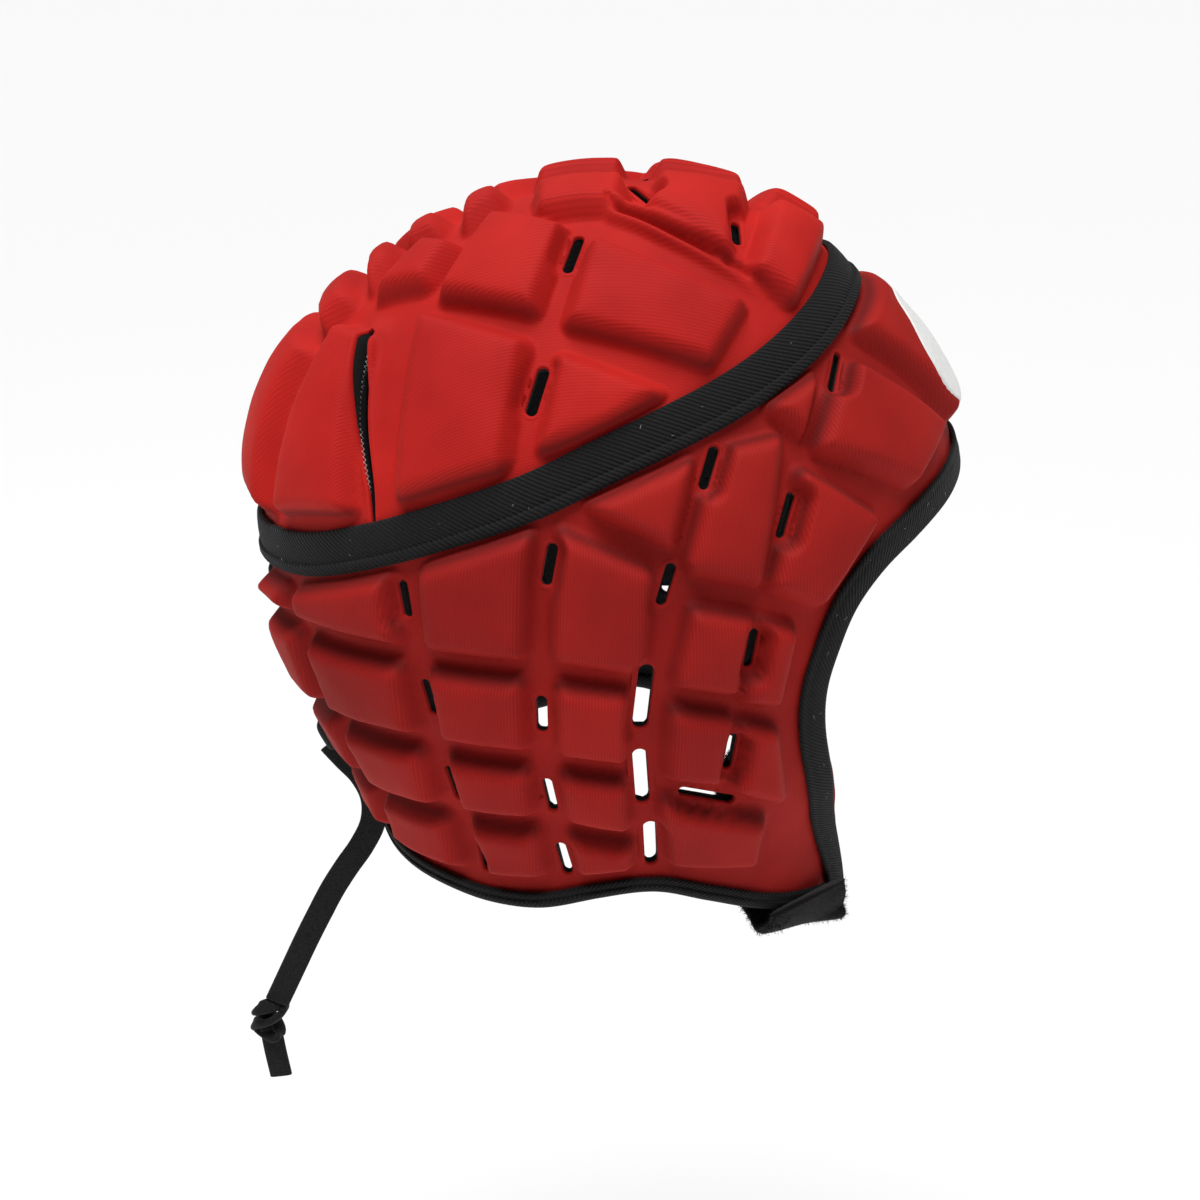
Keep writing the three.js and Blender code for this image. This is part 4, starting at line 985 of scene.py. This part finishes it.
# Zigzag stitches of white thread on the rear wall of each open dart: a round thread that swings
# between two depths below the sheet's face, a little proud of the wall
stitch = {"pitch": 1.7, "shallow": 0.5, "deep": -0.7, "thread": 0.32, "off": 0.35}
threadSection = ovalSection(stitch["thread"], stitch["thread"], 8, 1.0)
for hand, line in zip(("right", "left"), openLines):
    count = int(runOf(line)[-1] / stitch["pitch"]) * 2
    at = np.linspace(0.06, 0.94, count) * (len(line) - 1)
    spot = np.stack([np.interp(at, np.arange(len(line)), line[:, k]) for k in range(3)], axis=1)
    half = np.interp(at, np.arange(len(line)), dartHalves)
    ahead, normal = unit(np.gradient(spot, axis=0)), normalAt(spot)
    rearward = unit(np.cross(normal, ahead))
    rearward = rearward * np.sign((rearward * (-1, 0, 0)).sum(axis=1, keepdims=True))
    depth = np.where(np.arange(count) % 2, stitch["deep"], stitch["shallow"])
    run = spot + rearward * (half - stitch["off"])[:, None] + normal * depth[:, None]
    bandPiece(f"dart_stitches_{hand}", run, rearward, threadSection, thread)

# Blank white patch on the forehead pad: an oval of print film that follows the pad, turned down
# at its rim, on rings of points about the middle line
patch = {
    "up": 35.0, "halfUp": 10.0, "halfAround": 11.0, "film": 0.35, "edge": -0.15, "rings": 40, "spokes": 120,
}
ringShare = np.linspace(0, 1, patch["rings"] + 1)[1:, None] ** 0.8
spoke = np.linspace(0, 2 * np.pi, patch["spokes"], endpoint=False)[None, :]
patchAround = np.append((patch["halfAround"] * ringShare * np.cos(spoke)).ravel(), 0.0)
patchUp = np.append((patch["up"] + patch["halfUp"] * ringShare * np.sin(spoke)).ravel(), patch["up"])
patchBase = lift(aim(patchAround, patchUp), np.full(len(patchUp), form["wall"]))
ringRise = np.where(ringShare[:, 0] < 0.985, patch["film"], patch["edge"])
patchRise = np.append(np.repeat(ringRise, patch["spokes"]), patch["film"])
patchHeight = lowerRelief(patchBase) + unevenness(patchBase) + patchRise
patchPoints = patchBase + normalAt(patchBase) * patchHeight[:, None]
inmost = np.arange(patch["spokes"])
hub = np.full(len(inmost), len(patchPoints) - 1)
patchFaces = gridFaces(patch["rings"], patch["spokes"], wrap=True)[:, ::-1].tolist()
patchFaces += np.stack([inmost, (inmost + 1) % patch["spokes"], hub], axis=1).tolist()
meshPiece("forehead_patch", patchPoints, patchFaces, film)


# Black lining on the inner side, with the same holes
def liningPiece(name, directions, wrap, holes):
    around, up = directions
    base = lift(aim(around, up).reshape(-1, 3), np.full(around.size, lining["height"]))
    normals = normalAt(base)
    faces = gridFaces(*around.shape, wrap=wrap)
    moved = pierced(base, normals, holes, lining["cell"], lining["grow"])
    keep = clearOf(moved, faces, holes, lining["grow"])
    used, index = np.unique(faces[keep][:, ::-1], return_inverse=True)
    meshPiece(name, moved[used], index.reshape(-1, 4), liningCloth)


liningPiece("crown_lining", crownDirections(*lining["crown"]), True, crownHoles)
liningPiece("lower_lining", lowerDirections(*lining["lower"]), False, lowerHoles)
print("lining done")
for piece, node in ((crownCover, "crown_panel"), (lowerCover, "lower_panel")):
    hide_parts(node)


# A section carried along a line over the hollow: each of its points is (across, height), across
# being measured along the sheet, towards the normal turned by the way ahead.
def carriedBand(name, line, section, material, closed, weave):
    feet = lift(aim(*line.T), np.zeros(len(line)))
    ahead = np.roll(feet, -1, axis=0) - np.roll(feet, 1, axis=0)
    if not closed:
        ahead[0], ahead[-1] = feet[1] - feet[0], feet[-1] - feet[-2]
    side = unit(np.cross(normalAt(feet), unit(ahead)))
    across, height = np.asarray(section, float).T
    spots = feet[:, None, :] + side[:, None, :] * across[None, :, None]
    rows, columns = spots.shape[:2]
    points = lift(spots - centre, np.broadcast_to(height, (rows, columns)))
    along = np.broadcast_to(runOf(feet)[:, None], (rows, columns))
    over = across if weave == "across" else runOf(np.stack([across, height], axis=1))
    uv = np.stack([along, np.broadcast_to(over, (rows, columns))], axis=-1).reshape(-1, 2)
    every = gridFaces(rows, columns, wrap=True).tolist()
    if closed:
        i, last = np.arange(columns), (rows - 1) * columns
        n = (i + 1) % columns
        every += np.stack([last + i, last + n, n, i], axis=-1).tolist()
    else:
        every += endFaces(rows, columns)
    made = meshPiece(name, points.reshape(-1, 3), every, material, uv=uv)
    tidyNormals(made)
    return made


# Tape over the seam: a flat woven ribbon with its edges turned down, and a narrow folded strip
# that stands proud along the lower quarter
tape = {"half": 6.0, "low": 3.45, "high": 5.15, "fold": 0.65, "stations": 420}
tapeLine = np.stack([np.linspace(0, 360, tape["stations"], endpoint=False)] * 2, axis=1)
tapeLine[:, 1] = seamUp(tapeLine[:, 0])
tapeTop, foldTop = tape["high"], tape["high"] + tape["fold"]
tapeSection = [
    (-tape["half"], tape["low"]), (-6.15, 4.1), (-5.9, tapeTop - 0.35), (-5.2, tapeTop),
    (-3.5, tapeTop + 0.12), (-1.2, tapeTop + 0.15), (1.2, tapeTop + 0.08), (2.6, tapeTop - 0.18),
    (2.95, tapeTop - 0.2), (3.1, tapeTop + 0.45), (3.5, foldTop), (5.0, foldTop),
    (5.8, tapeTop + 0.3), (6.1, tapeTop - 0.5), (tape["half"], tape["low"]),
]
seamTape = carriedBand("seam_tape_cloth", tapeLine, tapeSection, tapeCloth, True, "across")
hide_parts("seam_tape")

# Folded binding: two leaves and a round nose over the cut edge of the foam
binding = {
    "width": 8.5, "hemWidth": 4.5, "cloth": 1.3, "nose": 1.3, "stations": 300, "hemStations": 220,
    "faceClear": 0.6, "hemClear": 0.78, "hemDrop": 0.7, "cornerEase": 4.8,
}


def bindingSection(width, clear):
    cloth, sheet = binding["cloth"], form["wall"] + clear
    outside, inside = sheet + cloth, -clear - cloth
    heart, radius = (outside + inside) / 2, (outside - inside) / 2
    turn = np.radians(np.linspace(90, 270, 13))
    nose = binding["nose"] + (cloth + binding["nose"]) * np.cos(turn)
    leaf = [
        (width, sheet), (width + 0.1, outside - 0.5), (width - 0.3, outside - 0.08),
        (width - 1.2, outside - 0.02), (width - 2.0, outside - 0.22), (width - 2.8, outside),
        (width / 2, outside + 0.1),
    ]
    inner = [(width / 2, inside), (width - 0.3, inside), (width, -clear), (0.6, -clear), (0.6, sheet)]
    return leaf + list(zip(nose, heart + radius * np.sin(turn))) + inner


faceHalf = np.array(faceEdge, float)
faceWhole = np.vstack([faceHalf[:0:-1] * (-1, 1), faceHalf])
faceLine = throughPoints(faceWhole, binding["stations"])[::-1]
faceSection = bindingSection(binding["width"], binding["faceClear"])
faceBinding = carriedBand("face_binding_cloth", faceLine, faceSection, bindingCloth, False, "way")
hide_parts("face_binding")

flare = np.degrees((binding["width"] + binding["cornerEase"]) / (form["width"] / 2))
hemTo = 180 - np.degrees(4 / (form["length"] * 0.3))  # 4 mm from the middle, on the low back's radius
hemSection = bindingSection(binding["hemWidth"], binding["hemClear"])
for side, hand in ((1, "right"), (-1, "left")):
    around = np.linspace(faceEdge[-1][0] + flare, hemTo, binding["hemStations"])
    line = np.stack([side * around, hemUp(around) - binding["hemDrop"]], axis=1)
    line = line[::-1] if side > 0 else line
    hem = carriedBand(f"hem_binding_{hand}_cloth", line, hemSection, bindingCloth, False, "way")
    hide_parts(f"hem_binding_{hand}")

# Pale lint caught on the black cloth: short fibres lying almost flat on the tape and binding
lint = {"each": 55, "length": 1.5, "width": 0.09, "lean": 0.25}
lintChance = np.random.default_rng(21)
lintRoots, lintWays = [], []
for line, width, height in ((tapeLine, 4.6, tape["high"] + 0.2), (faceLine, 3.0, 5.1)):
    pick = lintChance.integers(0, len(line), lint["each"])
    feet, before = (lift(aim(*line[at].T), np.zeros(len(pick))) for at in (pick, pick - 1))
    normal, along = normalAt(feet), unit(before - feet)
    across = lintChance.uniform(-width, width, (len(pick), 1)) + (4.2 if line is faceLine else 0)
    side = np.cross(normal, along) * (-1 if line is faceLine else 1)
    lintRoots.append(lift(feet + side * across - centre, np.full(len(pick), height)))
    lintWays.append(along + 0.8 * side * lintChance.normal(size=(len(pick), 1)))
fibres("cloth_lint", np.vstack(lintRoots), np.vstack(lintWays), lint["length"], lint["width"],
       lint["lean"], lintFibre, 22)
print("tape and bindings done")


# Chin strap: one loop down the outside of each cheek corner and straight across below the chin
strap = {
    "width": 32.0, "thickness": 3.0, "off": 7.4, "around": 39.0, "side": 6.0,
    # Elevation, share of off, turn to level; then shares of the half sizes, drop and turn
    "stations": [(-50.2, 1, 0), (-51.6, 1, 0.05), (-53.1, 0.7, 0.1)],
    "under": [(0.55, 0.42, 6.6, 0.4), (0.55, 0.22, 8.6, 0.9), (0.55, 0, 9.4, 1)],
    "level": (1, 0, -0.16), "steps": 150, "sides": 40,
    "fibres": 16000, "fibre": 1.8, "fibreWidth": 0.13, "lean": 0.75,
}
stations = []
besideStrap = strap["around"] + np.array([0, -1, 1]) * strap["side"]
for up, share, turn in strap["stations"]:
    spots = lift(aim(besideStrap, np.full(3, up)), np.full(3, strap["off"] * share))
    stations.append((spots[0], unit(spots[1] - spots[2]), turn))
hemLevel = lift(aim(strap["around"], hemUp(strap["around"])), 0.0)[2]
for x, y, below, turn in strap["under"]:
    place = np.array([x * form["length"] / 2, -y * form["width"] / 2, hemLevel - below])
    stations.append((place, aim(strap["around"] - 90, 0.0), turn))
strapMiddles = [s[0] for s in stations]
strapBroads = [s[1] + (np.array(strap["level"]) - s[1]) * s[2] for s in stations]
flip = np.array([1, -1, 1])
strapMiddles = np.array(strapMiddles + [p * flip for p in strapMiddles[-2::-1]])
strapBroads = np.array(strapBroads + [p * flip for p in strapBroads[-2::-1]])
strapRun = throughPoints(np.hstack([strapMiddles, strapBroads]), strap["steps"])
strapSection = ovalSection(strap["width"], strap["thickness"], strap["sides"])
strapPiece = bandPiece("chin_strap_cloth", strapRun[:, :3], strapRun[:, 3:], strapSection, pile)
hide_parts("chin_strap")

# Brushed nap of the strap: roots spread evenly over its faces, pointing away from its middle line
napChance = np.random.default_rng(11)
strapGrid = bandPoints(strapRun[:, :3], strapRun[:, 3:], strapSection)
row = napChance.integers(0, strap["steps"] - 1, strap["fibres"])
column = napChance.integers(0, strap["sides"], strap["fibres"])
along, across = napChance.uniform(size=(strap["fibres"], 2)).T
corners = [strapGrid[row + a, (column + b) % strap["sides"]] for a in (0, 1) for b in (0, 1)]
weights = [(1 - along) * (1 - across), (1 - along) * across, along * (1 - across), along * across]
roots = sum(w[:, None] * c for w, c in zip(weights, corners))
outward = unit(np.cross(corners[2] - corners[0], corners[1] - corners[0]))
outward = outward * np.sign((outward * (roots - strapRun[row, :3])).sum(axis=1, keepdims=True))
nap = fibres("chin_strap_nap", roots - 0.1 * outward, outward, strap["fibre"], strap["fibreWidth"],
             strap["lean"], pile, 12)
print("chin strap done")

# Lace bars over the open back: out of one eyelet, over the slit and into the other, by angles
# from the middle and heights
for name, (up, rise, tuck, half, _) in laceBars.items():
    turns = [
        (half + 4.5, -tuck), (half + 1, 0.3 - tuck), (half, 1.5), (half - 0.7, rise - 1.5),
        (half - 3, rise),
    ]
    right = [lift(aim(180.0 - a, float(up)), h) for a, h in turns]
    left = [lift(aim(180.0 + a, float(up)), h) for a, h in turns[::-1]]
    middles = throughPoints(np.array(right + left), 60)
    broad = unit(lift(aim(180.0, up + 4.0), 0.0) - lift(aim(180.0, up - 4.0), 0.0))
    broads = np.broadcast_to(broad, middles.shape)
    bar = bandPiece(f"{name}_cloth", middles, broads, ovalSection(8.2, 1.8, 24), laceCloth)
    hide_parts(name)

# Hanging lace: its route in the middle plane repeats the part's points
lace = {
    "width": 8.4,
    "thickness": 1.8,
    "route": [
        (-86.9, -177.1), (-82.6, -182.6), (-77.4, -189.0), (-74.2, -197.0), (-74.6, -206.0),
        (-78.6, -214.8), (-84.0, -223.0), (-89.2, -231.6), (-94.2, -241.4), (-99.1, -251.4),
        (-103.8, -261.6), (-108.2, -271.2), (-110.6, -276.4),
    ],
    "knotHeight": 15.0,
    "tail": 16.0,
}
route = np.array([(x, 0.0, z) for x, z in lace["route"]])
laceLine = throughPoints(route, 110)
laceBroads = np.cross(np.gradient(laceLine, axis=0), (0, 1, 0))
laceSection = ovalSection(lace["width"], lace["thickness"], 28)
lacePiece = bandPiece("back_lace_cloth", laceLine, laceBroads, laceSection, laceCloth)
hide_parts("back_lace")

# Overhand knot: sines and cosines of once, twice and three times round, then the tail below it
knotHalf = lace["knotHeight"] / 2
knotMiddle = route[-1] + unit(route[-1] - route[-2]) * (knotHalf + 0.3)
turnBy = np.linspace(0, 2 * np.pi, 120)
knotRun = np.stack([
    4.2 * np.sin(2 * turnBy) + 1.2 * np.cos(turnBy),
    2.2 * np.sin(3 * turnBy),
    5.6 * np.cos(turnBy) - 0.8 * np.sin(2 * turnBy),
], axis=1) + knotMiddle
knotBroads = np.gradient(knotRun, axis=0)[:, [2, 1, 0]] + (0.3, 0.9, 0.1)
knotPiece = bandPiece("lace_knot_cloth", knotRun, knotBroads, ovalSection(5.2, 2.6, 20, 0.8), laceCloth)
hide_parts("lace_knot")
tailSteps = np.array([(0.2, 0, -3), (1.2, 0, -knotHalf - 5.3), (2.6, 0, -knotHalf - lace["tail"])])
tailRun = throughPoints(knotMiddle + tailSteps, 40)
tailBroads = np.cross(np.gradient(tailRun, axis=0), (0, 1, 0))
tailPiece = bandPiece("lace_tail_cloth", tailRun, tailBroads, ovalSection(7.6, 2.0, 28), laceCloth)
print("laces done")

# Floor: a white table far enough below the cap to take only a soft shade
table = {"level": -0.6, "size": 30, "colour": "#EEEEEE"}
bpy.ops.mesh.primitive_plane_add(size=table["size"], location=(0, 0, table["level"]))
floor = bpy.context.active_object
floor.name = "floor"
floorPaint, floorTree = newMaterial("white_table")
floorShader = add(floorTree, "ShaderNodeBsdfPrincipled", {
    "Base Color": linear(table["colour"]), "Roughness": 0.8, "Specular IOR Level": 0.2,
})
add(floorTree, "ShaderNodeOutputMaterial", {"Surface": floorShader.outputs[0]})
floor.data.materials.append(floorPaint)

# A broad overhead sun for an even table and modelled pads, and two soft lamps
lamps = {  # kind, place, size or angle, power
    "overhead": ("SUN", (-0.1, -0.22, 1.2), 0.7, 3.3),
    "front": ("AREA", (0.9, -0.8, 0.5), 0.8, 0.8),
    "rear": ("AREA", (-0.5, 0.9, 0.8), 1.0, 1.5),
}
for name, (kind, place, size, power) in lamps.items():
    light = bpy.data.lights.new(name, kind)
    light.energy = power
    if kind == "SUN":
        light.angle = size
    else:
        light.shape, light.size = "DISK", size
    lamp = bpy.data.objects.new(name, light)
    bpy.context.scene.collection.objects.link(lamp)
    lamp.location = place
    lamp.rotation_mode = "QUATERNION"
    lamp.rotation_quaternion = (Vector((0, 0, -0.12)) - Vector(place)).to_track_quat("-Z", "Y")
world = bpy.data.worlds.new("studio")
bpy.context.scene.world = world
world.use_nodes = True
sky = world.node_tree.nodes["Background"].inputs
sky["Color"].default_value = linear("#FFFFFF")
sky["Strength"].default_value = 0.12

print("scene ready")
